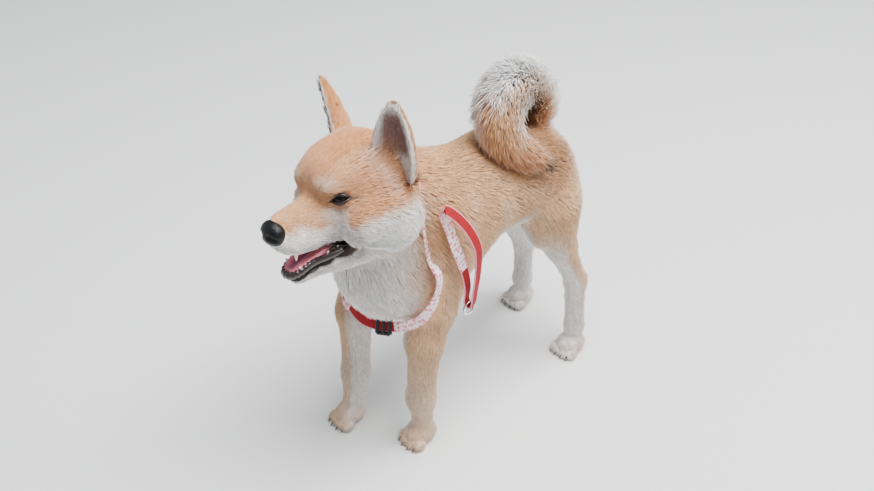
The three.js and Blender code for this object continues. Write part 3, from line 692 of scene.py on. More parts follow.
def ear_colour(h, n):
    """Tan outside, pale at the edge, and a bare rosy brown inside."""
    side = np.where(h[..., 0] > 0, 1.0, -1.0)
    q = h * mirrored((1, 1, 1), side) - EAR_ROOT
    across, up = q @ EAR_ACROSS, q @ EAR_UP
    facing = np.sum(n * mirrored(EAR_FRONT, side), -1)
    colour = all_over("red_tan", h)
    inside = ease(facing, 0.1, 0.5)
    colour = mixed(colour, "cream", inside)
    outline = EAR_HALF_WIDTH * np.interp(up, EAR_HEIGHTS, EAR_SHARES, left=0.9, right=0)
    middle = ease(-np.abs(across) / np.maximum(outline, 1), -0.86, -0.5) * ease(-up, -52, -36)
    return mixed(colour, "ear_pink", 0.9 * inside * middle * ease(up, -2, 8))


def coat_colour(p, n):
    """The parts' own colours, weighed by their shares, with soft variation, and painted shade inside the
    tail's curl.
    """
    shares = part_shares(p)
    h = to_head(p)
    y, z = p[..., 1], p[..., 2]
    side = np.sign(p[..., 0])
    back = mixed(all_over("tan", p), "fawn", 0.35 + 0.3 * waves(p, 60, 5))
    back = mixed(back, "deep_tan", 0.3 * ease(n[..., 2], 0.3, 0.9) * ease(z, 230, 280))
    below = ease(-n[..., 2], 0.15, 0.75)
    trunk_colour = mixed(back, "cream", below)
    chest = ease(-n[..., 1] - 0.35 * n[..., 2], 0.25, 0.7) * ease(-y, 78, 104)
    trunk_colour = mixed(trunk_colour, "cream", chest)
    under_tail = np.linalg.norm((p - (30, 62, 250)) / (30, 36, 34), axis=-1)
    trunk_colour = mixed(trunk_colour, "deep_tan", 0.75 * ease(-under_tail, -1.4, -0.5))
    trunk_colour = mixed(trunk_colour, "dark", 0.42 * ease(-under_tail, -1.1, -0.4))
    seat = ease(n[..., 1], 0.3, 0.7) * ease(-z, -262, -225)
    trunk_colour = mixed(trunk_colour, "white", 0.8 * seat)
    throat = ease(-n[..., 1] - 0.5 * n[..., 2], 0.1, 0.65)
    neck_colour = mixed(mixed(back, "red_tan", 0.4), "cream", throat)
    neck_colour = mixed(neck_colour, "white", 0.5 * throat * ease(-z, -250, -200))
    inward = ease(-n[..., 0] * side - 0.35 * n[..., 1], -0.1, 0.45)
    low_leg = ease(-z, -125, -45)
    inner = ease(-n[..., 0] * side, 0.1, 0.65)
    fore = mixed(mixed(back, "fawn", 0.5), "cream", np.maximum(inner * 0.85, 0.25 * low_leg))
    fore = mixed(fore, "grey", 0.18 * ease(-np.abs(z - 70), -34, -8) * ease(-n[..., 1], 0.1, 0.7))
    hind = mixed(mixed(back, "fawn", 0.35), "white",
                 np.maximum(inward, 0.85 * ease(-n[..., 1], 0.1, 0.55) * ease(-z, -195, -130)))
    hind = mixed(hind, "cream", 0.6 * low_leg)
    paw_share = ease(-z, -26, -12)
    fore, hind = mixed(fore, "fawn", 0.35 * paw_share), mixed(hind, "fawn", 0.25 * paw_share)
    place, gap = nearest_on_tail(p)
    share = tail_shares[place]
    spoke = (p - tail_line[place]) / np.maximum(gap, 1e-6)[..., None]
    to_view = spoke @ (np.array([0.58, -0.62, 0.3]) / 0.9)
    into_shaded_curl = np.sum(spoke * unit(tail_line.mean(0) - tail_line)[place], -1)
    tail = mixed(all_over("tan", p), "cream",
                 ease(-to_view, -0.88, -0.1) * ease(-share, -0.92, -0.66))
    tail = mixed(tail, "white", np.maximum(ease(spoke[..., 2], 0.6, 0.95), ease(-to_view, -0.35, 0.25))
                 * ease(-share, -0.8, -0.5))
    # Painted shade: the side of the brush that faces into its curl is painted rust and then near black,
    # where shade falls
    tail = mixed(tail, "rust", 0.7 * ease(into_shaded_curl, 0.1, 0.6) * ease(-share, -0.5, -0.35))
    tail = mixed(tail, "dark", 0.8 * ease(into_shaded_curl, 0.55, 0.95) * ease(-share, -0.5, -0.35))
    tail = mixed(tail, "rust", 0.75 * ease(share, 0.66, 0.86))
    tail = mixed(tail, "dark", 0.85 * ease(share, 0.9, 0.98))
    colours = np.stack([trunk_colour, neck_colour, head_colour(h), ear_colour(h, n @ HEAD_AXES),
                        fore, hind, tail], -2)
    return (colours * shares[..., None]).sum(-2), shares


# %% [markdown]
# ## Materials from nodes
# Each material starts from what the real thing is. One function adds a node with its settings and
# links. Uniform values are set on the shader's own sockets.

# %% Node helper
def add_node(tree, kind, settings=None, inputs=None):
    """A node of a kind, with properties from settings, and inputs that are values or sockets."""
    node = tree.nodes.new(kind)
    for key, value in (settings or {}).items():
        setattr(node, key, value)
    for key, value in (inputs or {}).items():
        if isinstance(value, bpy.types.NodeSocket):
            tree.links.new(value, node.inputs[key])
        else:
            node.inputs[key].default_value = value
    return node


def new_material(name, roughness, **values):
    """A Principled material with its output, its roughness and other named values set."""
    material = bpy.data.materials.new(name)
    material.use_nodes = True
    tree = material.node_tree
    shader = tree.nodes["Principled BSDF"]
    shader.inputs["Roughness"].default_value = roughness
    for key, value in values.items():
        shader.inputs[key.replace("_", " ")].default_value = value
    return material, tree, shader


def rgba(code):
    """A hex colour as the four linear numbers that a colour socket takes."""
    return (*linear(code), 1.0)


def set_stops(ramp, stops):
    """Gives a colour ramp its positions, from 0 to 1, and their hex colours."""
    elements = ramp.color_ramp.elements
    for _ in range(len(stops) - len(elements)):
        elements.new(0.5)
    for element, (position, code) in zip(elements, stops):
        element.position, element.color = position, rgba(code)


def bumped(tree, shader, height, strength, distance):
    """Links a height to the shader's normal through a bump of a real depth in metres."""
    bump = add_node(tree, "ShaderNodeBump", inputs={
        "Height": height, "Strength": strength, "Distance": distance})
    tree.links.new(bump.outputs["Normal"], shader.inputs["Normal"])


# %% [markdown]
# ### Coat and skin
# Dog hair is a matt fibre with a faint sheen. Its colour is the marking stored on the mesh, and a
# noise a few millimetres long makes it uneven. The skin under it has the same colours.

# %% Coat materials
def coat_material(name, roughness, grain_scale, bump_depth):
    """The stored marking times a noise between 0.86 and 1.1, and a fine bump."""
    material, tree, shader = new_material(name, roughness, IOR=1.45)
    shader.inputs["Specular IOR Level"].default_value = 0.25
    shader.inputs["Sheen Weight"].default_value = 0.12
    shader.inputs["Subsurface Weight"].default_value = 0.25
    shader.inputs["Subsurface Radius"].default_value = (1.0, 0.8, 0.65)
    shader.inputs["Subsurface Scale"].default_value = 0.004
    shader.inputs["Sheen Roughness"].default_value = 0.5
    marking = add_node(tree, "ShaderNodeAttribute", {"attribute_name": "marking"})
    place = add_node(tree, "ShaderNodeTexCoord")
    noise = add_node(tree, "ShaderNodeTexNoise", inputs={
        "Vector": place.outputs["Object"], "Scale": grain_scale, "Detail": 3.0})
    shade = add_node(tree, "ShaderNodeMapRange", inputs={
        "Value": noise.outputs["Fac"], "From Min": 0.3, "From Max": 0.7, "To Min": 0.86, "To Max": 1.1})
    mix = add_node(tree, "ShaderNodeVectorMath", {"operation": "SCALE"}, {
        0: marking.outputs["Color"], "Scale": shade.outputs["Result"]})
    tree.links.new(mix.outputs["Vector"], shader.inputs["Base Color"])
    bumped(tree, shader, noise.outputs["Fac"], 0.5, bump_depth)
    return material


undercoat = coat_material("undercoat on skin", 0.85, 420.0, 0.0006)
guard_hair = coat_material("guard hair of the coat", 0.7, 260.0, 0.0002)


def store_colours(piece, colours):
    """One linear colour for each point of a mesh."""
    layer = piece.data.color_attributes.new(name="marking", type="FLOAT_COLOR", domain="POINT")
    full = np.concatenate([colours, np.ones((len(colours), 1))], 1).astype(np.float32)
    layer.data.foreach_set("color", full.ravel())


def finish_piece(piece, material, nodes=()):
    """Material, body and slot of a piece, and the solids' nodes that it stands for."""
    piece.data.materials.append(material)
    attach(piece, "root")
    if nodes:
        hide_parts(*nodes)
    return piece


# %% [markdown]
# ### The skin as a piece
# The skin stands for every flesh solid of the part at once. It is a little darker than the hair, as
# little light reaches it, and the part that lies in the open mouth goes from black lip to pink.

# %% Skin piece
FLESH_NODES = ["head", "neck", "torso_front", "torso_rear", "lower_jaw", "ear_left", "ear_right",
               "tail_base", "tail_crest", "tail_tip"]
FLESH_NODES += [f"{kind}_{side}" for side in ("left", "right") for kind in (
    "foreleg_upper", "foreleg_lower", "forepaw", "hindleg_upper", "hindleg_lower", "hindpaw")]
SKIN_SHADE = 0.94


def mouth_inside(h):
    """How far a point of the skin lies in the open mouth, from 0 outside to 1 inside."""
    within = ease(-mouth_wedge(h), -2.6, -1.2) * ease(-h[..., 1], -12, -4)
    return within * ease(-np.abs(h[..., 0]), -40, -36)


skin_colours, skin_shares = coat_colour(skin_points, skin_normals)
skin_colours = skin_colours * SKIN_SHADE
skin_head = to_head(skin_points)
in_mouth = mouth_inside(skin_head)
lip_edge = np.minimum(np.abs(skull_and_muzzle(skin_head)), np.abs(jaw(skin_head)))
mouth_shade = mixed(all_over("lip", skin_points), "mouth",
                    ease(lip_edge, 4, 10))
skin_colours = skin_colours + (mouth_shade - skin_colours) * in_mouth[:, None]
skin = new_piece("skin", skin_points, skin_faces)
store_colours(skin, skin_colours)
finish_piece(skin, undercoat, FLESH_NODES)
print("skin stands for", len(FLESH_NODES), "nodes")

# %% [markdown]
# ## The lie of the coat
# Hair grows from the nose back over the face, down the throat and chest, back along the trunk and
# down the legs. On the tail it follows the curl and stands out from it.

# %% Direction of the hair
def lie_of_coat(p, n, shares):
    """Each part's own direction, weighed by the shares, less what points along the normal."""
    h = to_head(p)
    side = np.sign(p[..., 0])
    one, nought = np.ones(len(p)), np.zeros(len(p))
    trunk_lie = np.stack([nought, one, -0.25 - 0.75 * np.abs(n[..., 0])], -1)
    neck_lie = np.stack([0.25 * side, 0.45 + 0.4 * ease(n[..., 2], 0, 0.8), -one], -1)
    from_nose = unit((h - (0, -72, -18)) * (1, 1, 0.9))
    cheek = (ease(h[..., 1], 0, 26) * ease(-h[..., 2], -2, 18))[:, None]
    from_nose = from_nose + cheek * np.stack([side * 0.5, 0.3 * one, -1.0 * one], -1)
    head_lie = from_nose @ HEAD_AXES.T
    ear_side = np.where(h[..., 0] > 0, 1.0, -1.0)
    ear_lie = mirrored(EAR_UP, ear_side) @ HEAD_AXES.T
    leg_lie = np.stack([nought, 0.2 * one, -one], -1)
    foot = ease(-p[..., 2], -24, -10)
    leg_lie = leg_lie + foot[:, None] * np.array([0, -1.2, 0.2])
    thigh_lie = np.stack([0.1 * side, 0.45 * one, -one], -1)
    tail_lie = tail_along[nearest_on_tail(p)[0]]
    lies = np.stack([trunk_lie, neck_lie, head_lie, ear_lie, leg_lie, thigh_lie, tail_lie], -2)
    lie = (unit(lies) * shares[..., None]).sum(-2)
    lie = lie + 0.16 * np.stack([waves(p, 34, 11), waves(p, 34, 12), waves(p, 34, 13)], -1)
    return unit(lie - n * np.sum(lie * n, -1, keepdims=True))


# %% [markdown]
# ## Tufts
# A tuft is a thin three-sided horn of sixteen faces that bends along the coat. Its root is sunk in
# the skin and its tip ends at the coat's outer surface. They are drawn at random over the skin,
# most densely on the face and feet, where they are smallest.

# %% Sizes of the tufts on each part
# Columns: length, width and lift of the tip in mm, then tufts per square millimetre
TUFT_SIZES = {
    "trunk": (14.0, 1.2, 3.6, 0.36), "neck": (16.0, 1.4, 4.6, 0.46), "head": (8.5, 0.9, 2.6, 0.68),
    "ears": (6.5, 0.85, 1.1, 0.66), "forelegs": (8.5, 1.0, 1.9, 0.56), "hindlegs": (9.5, 1.1, 2.6, 0.48),
    "tail": (27.0, 1.35, 12.0, 0.9),
}
TUFT_RINGS = np.array([0.0, 0.34, 0.68])
TUFT_TAPER = np.array([1.0, 0.82, 0.5])
MOST_TUFTS = 12200
rng = np.random.default_rng(20)


def tuft_sizes(p, shares):
    """Length, width, lift and density at each point, smaller towards the nose and the toes."""
    table = np.array([TUFT_SIZES[part] for part in PARTS])
    sizes = shares @ table
    h = to_head(p)
    face = shares[:, 2] * ease(-h[:, 1], -18, 14)
    muzzle = shares[:, 2] * ease(-h[:, 1], 8, 34)
    foot = ease(-p[:, 2], -60, -18)
    sizes[:, 0] *= (1 - 0.35 * face) * (1 - 0.35 * muzzle) * (1 - 0.45 * foot)
    sizes[:, 1] *= (1 - 0.2 * face) * (1 - 0.15 * muzzle) * (1 - 0.2 * foot)
    sizes[:, 2] *= (1 - 0.45 * face) * (1 - 0.35 * muzzle) * (1 - 0.5 * foot)
    sizes[:, 3] *= (1 + 0.35 * face) * (1 + 0.25 * muzzle) * (1 + 0.25 * foot)
    return sizes


def bare(p, n):
    """True where no hair grows: in the mouth, on the eyes and lids' edges, round the nose, under
    the feet and on the dark lower lip."""
    h = to_head(p)
    none = mouth_inside(h) > 0.25
    none |= ball(NOSE_MIDDLE, NOSE_RADII)(h) < 0.4
    none |= lower_lip_share(h) > 0.45
    none |= (p[:, 2] < 3.0) & (n[:, 2] < -0.3)
    for name, centre in eye_centres.items():
        out = eye_axes(EYE_SIDES[name])[2]
        none |= (lid_opening(h, name) < 1.3) & ((h - centre) @ out > 2)
    return none


def triangle_areas(points, triangles):
    """Half the length of each triangle's cross product."""
    a, b, c = (points[triangles[:, k]] for k in range(3))
    return np.linalg.norm(np.cross(b - a, c - a), axis=1) / 2


areas = triangle_areas(skin_points, all_triangles)
middles = skin_points[all_triangles].mean(1)
middle_shares = skin_shares[all_triangles].mean(1)
wanted = areas * tuft_sizes(middles, middle_shares)[:, 3]
counts = rng.poisson(wanted)
chosen = np.repeat(np.arange(len(all_triangles)), counts)
mix_a, mix_b = rng.random(len(chosen)), rng.random(len(chosen))
flip = mix_a + mix_b > 1
mix_a[flip], mix_b[flip] = 1 - mix_a[flip], 1 - mix_b[flip]
weights = np.stack([1 - mix_a - mix_b, mix_a, mix_b], -1)[..., None]
roots = (skin_points[all_triangles[chosen]] * weights).sum(1)
root_normals = unit((skin_normals[all_triangles[chosen]] * weights).sum(1))
hairy = ~bare(roots, root_normals)
roots, root_normals = roots[hairy], root_normals[hairy]
print("tufts:", len(roots))

# %% [markdown]
# ## The route of the harness
# The webbing is one loop round the neck and breast, with a doubled tab that hangs at the left
# shoulder. Listed points are dropped onto the coat, and hair under the webbing is pressed
# flat, so the route comes before the tufts are grown.

# %% Routes over the coat
WEBBING_WIDTH, WEBBING_THICKNESS, WEBBING_LIFT = 10.0, 1.8, 0.5
LOOP_ROUTE = np.array([(50, -101, 281), (58, -101, 245), (59, -99, 205), (52, -110, 168),
                       (28, -120, 148), (0, -133, 150), (-30, -132, 157), (-52, -113, 178),
                       (-58, -99, 212), (-56, -97, 250), (-40, -90, 284), (0, -76, 294),
                       (32, -88, 292)], float)
LOOP_MIDDLE = np.array([0.0, -96, 225])
TAB_ROUTE = np.array([(54, -92, 270), (57, -89, 255), (60, -84, 234), (62, -76, 211),
                      (62, -71, 190), (61, -68, 171)], float)
TAB_BOW = np.array([0, 7, 10, 6, 2, 0], float)
TAB_LIFT, TAB_FOLD = 4.4, 5.0
cloth_field = flesh([body, muscle("fore_left"), muscle("fore_right")], 10)


RAY_LENGTH, RAY_STEP = 250, 1.5


def dropped(points, lifts):
    """From the loop's middle outwards through each point, halving to where the field has its lift."""
    directions = unit(points - LOOP_MIDDLE)
    steps = np.arange(0, RAY_LENGTH, RAY_STEP)
    rays = LOOP_MIDDLE + directions[:, None, :] * steps[:, None]
    beyond = (cloth_field(rays) - np.asarray(lifts)[..., None] >= 0).argmax(1)
    far, near = steps[beyond], steps[beyond] - RAY_STEP
    for _ in range(18):
        middle = (near + far) / 2
        inside = cloth_field(LOOP_MIDDLE + directions * middle[:, None]) < lifts
        near, far = np.where(inside, middle, near), np.where(inside, far, middle)
    return LOOP_MIDDLE + directions * far[:, None]


LOOP_ROWS, TAB_ROWS = 420, 240
loop_lift = np.full(len(LOOP_ROUTE), WEBBING_LIFT + WEBBING_THICKNESS / 2)
loop_line, loop_length = evenly(through(dropped(LOOP_ROUTE, loop_lift), True, 0.5), LOOP_ROWS + 1)
tab_down = dropped(TAB_ROUTE, np.full(len(TAB_ROUTE), TAB_LIFT))
bowed = TAB_ROUTE + np.stack([TAB_BOW * 0, TAB_BOW, TAB_BOW * 0], -1)
tab_up = dropped(bowed, TAB_LIFT + TAB_FOLD + TAB_BOW * 0.5)[::-1]
tab_line, tab_length = evenly(through(np.concatenate([tab_down, tab_up]), True, 0.5), TAB_ROWS + 1)
print("loop", round(loop_length), "mm, tab", round(tab_length), "mm")


def near_line(p, line, reach):
    """The least distance from each point to a line's samples, and 1000 for points out of reach."""
    least = np.full(len(p), 1e3)
    box = np.all((p > line.min(0) - reach) & (p < line.max(0) + reach), axis=1)
    some = np.flatnonzero(box)
    for part in np.array_split(some, max(1, len(some) // 4000)):
        least[part] = np.linalg.norm(p[part][:, None] - line[::4], axis=-1).min(1)
    return least


# Hair that grows above the webbing would fall over it, so the press reaches further up than down
pressed = ease(-near_line(roots - (0, 0, 6), loop_line, 26), -19, -11)
high_neck = ease(roots[:, 2], 208, 230)
pressed = np.maximum(pressed * (1 - high_neck), ease(-near_line(roots, tab_line, 18), -14, -8))
ruff = high_neck * ease(-near_line(roots, loop_line, 26), -20, -10) * (1 - pressed)

# %% [markdown]
# ## Growing the tufts
# The middle line of a tuft leaves along the coat and rises less and less, so that it lies down
# towards its tip. The three sides are spread flat across the lie.

# %% Tuft arrays
root_colours, root_shares = coat_colour(roots, root_normals)
sizes = tuft_sizes(roots, root_shares)
number = len(roots)
length = sizes[:, 0] * rng.uniform(0.7, 1.15, number) * (1 - 0.6 * pressed)
width = sizes[:, 1] * rng.uniform(0.75, 1.25, number)
lift = sizes[:, 2] * rng.uniform(0.65, 1.0, number) * (1 - 0.97 * pressed) + 3.5 * ruff
lie = lie_of_coat(roots, root_normals, root_shares)
lean = rng.normal(size=(number, 3)) * (0.13 + 0.12 * root_shares[:, 6:7])
lie = unit(lie + lean - root_normals * np.sum(lean * root_normals, -1, keepdims=True))
place, gap = nearest_on_tail(roots)
brush = root_shares[:, 6]
room = tail_radii[place] - np.minimum(gap, tail_radii[place])
lift = lift * (1 - brush) + brush * np.maximum(room, 2) * rng.uniform(0.75, 1.0, number)
length = length * (1 - brush) + brush * np.minimum(length, lift * 2.2 + 6) * rng.uniform(0.62, 1, number)
across = unit(np.cross(lie, root_normals))


def tuft_points():
    """Rings of three corners on each middle line, root + lie run t + normal lift t (1.7 - 0.7 t), with
    the corners at 1 and -1 across and one outwards, and a last point at the tip."""
    points = np.empty((number, 10, 3))
    run = np.sqrt(np.maximum(length ** 2 - lift ** 2, 1.0))
    for ring, (t, taper) in enumerate(zip(TUFT_RINGS, TUFT_TAPER)):
        middle = (roots + lie * (run * t)[:, None]
                  + root_normals * (lift * t * (1.7 - 0.7 * t) - 0.5 * (t == 0))[:, None])
        half = (width * taper / 2)[:, None]
        points[:, ring * 3] = middle + across * half - root_normals * half * 0.25
        points[:, ring * 3 + 1] = middle - across * half - root_normals * half * 0.25
        points[:, ring * 3 + 2] = middle + root_normals * half * 0.6
    points[:, 9] = roots + lie * run[:, None] + root_normals * lift[:, None]
    return points


TUFT_FACES = np.array(
    [(0, 1, 2)] + [face for ring in (0, 3) for k in range(3) for face in (
        (ring + k, ring + 3 + k, ring + 3 + (k + 1) % 3),
        (ring + k, ring + 3 + (k + 1) % 3, ring + (k + 1) % 3))]
    + [(6 + k, 9, 6 + (k + 1) % 3) for k in range(3)])
tufts = tuft_points()
if signed_volume(tufts[0], TUFT_FACES) < 0:
    TUFT_FACES = TUFT_FACES[:, ::-1]
box_low, box_high = (np.array(corner) / MM - SHIFT for corner in solids_box)
tufts = np.clip(tufts, box_low + (0.3, 0.3, 0.25), box_high - 0.3)

# Painted shade and light: hair is darker at its root, where light doesn't reach, and paler at its tip,
# where light falls on it
TUFT_SHADE_AND_LIGHT = np.array([0.86, 0.86, 0.88, 0.95, 0.95, 0.97, 1.01, 1.01, 1.02, 1.05])
strand = rng.uniform(0.78, 1.12, number)
tuft_colours = root_colours[:, None, :] * (TUFT_SHADE_AND_LIGHT * strand[:, None])[..., None]
dark_tip = (rng.random(number) < 0.3) & (root_shares[:, 0] > 0.5) & (root_normals[:, 2] > 0.1)
tuft_colours[dark_tip, 9] *= 0.4
print("tuft triangles:", number * len(TUFT_FACES))

# %% [markdown]
# ## Unwrapping the coat
# Each tuft gets a patch of the map, 0.003 across, at its root's place, so that the coat's colours
# can be baked onto it. The map is a cylinder round the form: the angle round its axis across, and
# the place along it upwards.

# %% Roots on the map
PATCH = 0.003


def round_axis(p, along_axis, start, end):
    """The angle round an axis as 0 to 1, and the place between start and end as 0 to 1."""
    first, second = [k for k in range(3) if k != along_axis]
    angle = np.arctan2(p[:, second] - np.median(p[:, second]), p[:, first] - np.median(p[:, first]))
    along = (p[:, along_axis] - start) / (end - start)
    return np.stack([angle / (2 * math.pi) + 0.5, np.clip(along, 0, 1)], -1)


def root_map(which):
    """Each root's place on its part's cylinder: along Y for head, neck and trunk, along Z for the
    legs, whose left and right halves lie side by side, and along its curl for the tail."""
    p = roots[which]
    part = int(np.bincount(root_shares[which].argmax(1), minlength=len(PARTS)).argmax())
    if PARTS[part] == "tail":
        place = nearest_on_tail(p)[0]
        spoke = unit(p - tail_line[place])
        side = unit(np.cross(tail_along[place], [0.3, 0.2, 0.93]))
        other = np.cross(tail_along[place], side)
        angle = np.arctan2(np.sum(spoke * other, -1), np.sum(spoke * side, -1))
        uv = np.stack([angle / (2 * math.pi) + 0.5, tail_shares[place]], -1)
    elif PARTS[part] in ("forelegs", "hindlegs"):
        uv = np.empty((len(p), 2))
        for half, own in enumerate((p[:, 0] > 0, p[:, 0] <= 0)):
            uv[own] = round_axis(p[own], 2, p[:, 2].min(), p[:, 2].max()) * (0.5, 1) + (0.5 * half, 0)
    else:
        uv = round_axis(p, 1, p[:, 1].min(), p[:, 1].max())
    return 0.01 + 0.98 * uv


# A tuft is shaded as the coat is: mostly by the skin's normal at its root, a little by its own side
own_way = np.stack([across, -across, root_normals] * 3 + [lie * 0.5], 1)
soft_normals = unit(root_normals[:, None] + 0.45 * own_way)
ring_of_corner = np.array([0, 0, 0, 1, 1, 1, 2, 2, 2, 3]) / 3 - 0.5
side_of_corner = np.array([-1, 1, 0, -1, 1, 0, -1, 1, 0, 0]) / 2
patch = np.stack([side_of_corner, ring_of_corner], -1) * PATCH


def coat_piece(name, which):
    """One joined mesh of the chosen tufts, with their colours and their map."""
    count = len(which)
    faces = (TUFT_FACES[None] + 10 * np.arange(count)[:, None, None]).reshape(-1, 3)
    uv = (root_map(which)[:, None, :] + patch[None])[:, TUFT_FACES, :]
    piece = new_piece(name, tufts[which].reshape(-1, 3), faces, uv.reshape(-1, 2), "OFBake")
    store_colours(piece, tuft_colours[which].reshape(-1, 3))
    piece.data.normals_split_custom_set_from_vertices(soft_normals[which].reshape(-1, 3).tolist())
    return finish_piece(piece, guard_hair)


owner = root_shares.argmax(1)
for part, name in enumerate(PARTS):
    members = np.flatnonzero(owner == part)
    sheets = max(1, math.ceil(len(members) / MOST_TUFTS))
    order = members[np.argsort(roots[members, 0 if name in ("trunk", "head", "ears") else 1])]
    for index, which in enumerate(np.array_split(order, sheets)):
        coat_piece(f"coat_{name}_{index + 1}", which)
    print("coat of the", name, len(members), "tufts in", sheets)

# %% [markdown]
# ## Small forms on a grid
# Eyes, tongue, teeth, claws and whiskers are each a surface of two parameters: one runs along or
# down the form and the other runs round it. A grid of rows and columns joins them up.

# %% Grids
def round_grid(rings):
    """Rings of points (rows, columns, 3), joined round and along, with a point closing each end.
    Gives points, faces and a UV per corner, with u round and v along."""
    rows, columns = rings.shape[:2]
    points = rings.reshape(-1, 3)
    row, column = np.meshgrid(np.arange(rows - 1), np.arange(columns), indexing="ij")
    here, right = row * columns + column, row * columns + (column + 1) % columns
    quads = np.stack([here, right, right + columns, here + columns], -1).reshape(-1, 4)
    u, v = column / columns, row / (rows - 1)
    step_u, step_v = 1 / columns, 1 / (rows - 1)
    uv = np.stack([np.stack([u, v], -1), np.stack([u + step_u, v], -1),
                   np.stack([u + step_u, v + step_v], -1), np.stack([u, v + step_v], -1)], -2)
    points = np.concatenate([points, rings[0].mean(0)[None], rings[-1].mean(0)[None]])
    around, following = np.arange(columns), (np.arange(columns) + 1) % columns
    first_end, last_end = (np.full(columns, rows * columns + end) for end in (0, 1))
    last_ring = (rows - 1) * columns
    caps = np.concatenate([np.stack([first_end, following, around], -1),
                           np.stack([last_end, last_ring + around, last_ring + following], -1)])
    share = np.stack([around, around, around + 1], -1) / columns
    cap_maps = [np.stack([share, np.full_like(share, v)], -1).reshape(-1, 2) for v in (0.0, 1.0)]
    faces, maps = [quads, caps], [uv.reshape(-1, 2), np.concatenate(cap_maps)]
    if signed_volume(points - points.mean(0), all_as_triangles(faces)) < 0:
        faces = [f[:, ::-1] for f in faces]
        maps = [m.reshape(-1, f.shape[1], 2)[:, ::-1].reshape(-1, 2) for f, m in zip(faces, maps)]
    return points, faces, np.concatenate(maps)


def joined_grids(grids):
    """Several grids as one: faces are moved on by the points before them."""
    points, before = [], 0
    groups, maps = {4: [], 3: []}, {4: [], 3: []}
    for grid_points, faces, uv in grids:
        points.append(grid_points)
        used = 0
        for f in faces:
            groups[f.shape[1]].append(f + before)
            maps[f.shape[1]].append(uv[used:used + f.size])
            used += f.size
        before += len(grid_points)
    return (np.concatenate(points), [np.concatenate(group) for group in groups.values()],
            np.concatenate(maps[4] + maps[3]))


def tapered(line, radii, columns=10, flatness=1.0, flat_way=None):
    """A tube: at each point of the line, a circle of the radius there, square to the line, and
    flattened along flat_way if it is given."""
    along = unit(np.gradient(line, axis=0))
    guide = np.array([0.21, 0.34, 0.92]) if flat_way is None else np.asarray(flat_way, float)
    first = unit(np.cross(along, guide))
    second = np.cross(along, first)
    angle = np.linspace(0, 2 * math.pi, columns, endpoint=False)
    circle = (first[:, None] * np.cos(angle)[:, None]
              + second[:, None] * np.sin(angle)[:, None] * flatness)
    return line[:, None] + circle * np.asarray(radii)[:, None, None]


def bent_line(start, end, bow, count=9):
    """From start to end, pushed aside by bow times 4t(1 - t)."""
    t = np.linspace(0, 1, count)[:, None]
    start, end = np.array(start, float), np.array(end, float)
    return start + (end - start) * t + np.array(bow, float) * 4 * t * (1 - t)


# %% [markdown]
# ## Eyes
# A puppy's eye shows almost no white: a dark brown iris, a black pupil and a wet cornea in one
# smooth ball. The colours are rings round the eye's axis, read from the map of the ball.

# %% Eyeballs
def eye_ball(name):
    """Rings from the front pole to the back pole: axis cos a + circle sin a, times the radius."""
    level, up, out = eye_axes(EYE_SIDES[name])
    polar = np.linspace(0.02, math.pi - 0.02, 40)
    angle = np.linspace(0, 2 * math.pi, 48, endpoint=False)
    circle = level * np.cos(angle)[:, None] + up * np.sin(angle)[:, None]
    rings = np.cos(polar)[:, None, None] * out + np.sin(polar)[:, None, None] * circle
    return round_grid(from_head(eye_centres[name] + rings * EYE_RADIUS))


def grained_material(name, roughness, codes, scale, detail, relief, **values):
    """Two colours mixed by a noise of a scale and detail, which also lifts the surface by a
    relief: the bump's strength and its depth in metres."""
    material, tree, shader = new_material(name, roughness, **values)
    place = add_node(tree, "ShaderNodeTexCoord")
    grain = add_node(tree, "ShaderNodeTexNoise", inputs={
        "Vector": place.outputs["Object"], "Scale": scale, "Detail": detail})
    colour = add_node(tree, "ShaderNodeMixRGB", inputs={
        "Fac": grain.outputs["Fac"], "Color1": rgba(codes[0]), "Color2": rgba(codes[1])})
    tree.links.new(colour.outputs["Color"], shader.inputs["Base Color"])
    bumped(tree, shader, grain.outputs["Fac"], *relief)
    return material


def eye_material():
    """Wet eye: black pupil to 14 degrees from the axis, dark brown iris to 30, then near black."""
    material, tree, shader = new_material("wet dog eye", 0.1, IOR=1.33)
    maps = add_node(tree, "ShaderNodeUVMap", {"uv_map": "weave"})
    parts = add_node(tree, "ShaderNodeSeparateXYZ", inputs={"Vector": maps.outputs["UV"]})
    ramp = add_node(tree, "ShaderNodeValToRGB", inputs={"Fac": parts.outputs["Y"]})
    set_stops(ramp, [(0.0, "#040303"), (0.08, "#060404"), (0.1, "#22130b"), (0.165, "#180d08"),
                     (0.2, "#080505"), (0.26, "#120d0c")])
    tree.links.new(ramp.outputs["Color"], shader.inputs["Base Color"])
    return material


wet_eye = eye_material()
for name in EYE_SIDES:
    finish_piece(new_piece(f"{name}_ball", *eye_ball(name)), wet_eye, [name])
print("eyes at", {name: centre.round(1).tolist() for name, centre in eye_centres.items()})

# %% [markdown]
# ## Lids
# The lids end in a black, moist rim that lies on the eyeball. It follows the almond of the opening
# and is thicker above, where the extra black is the lashes' painted shadow.

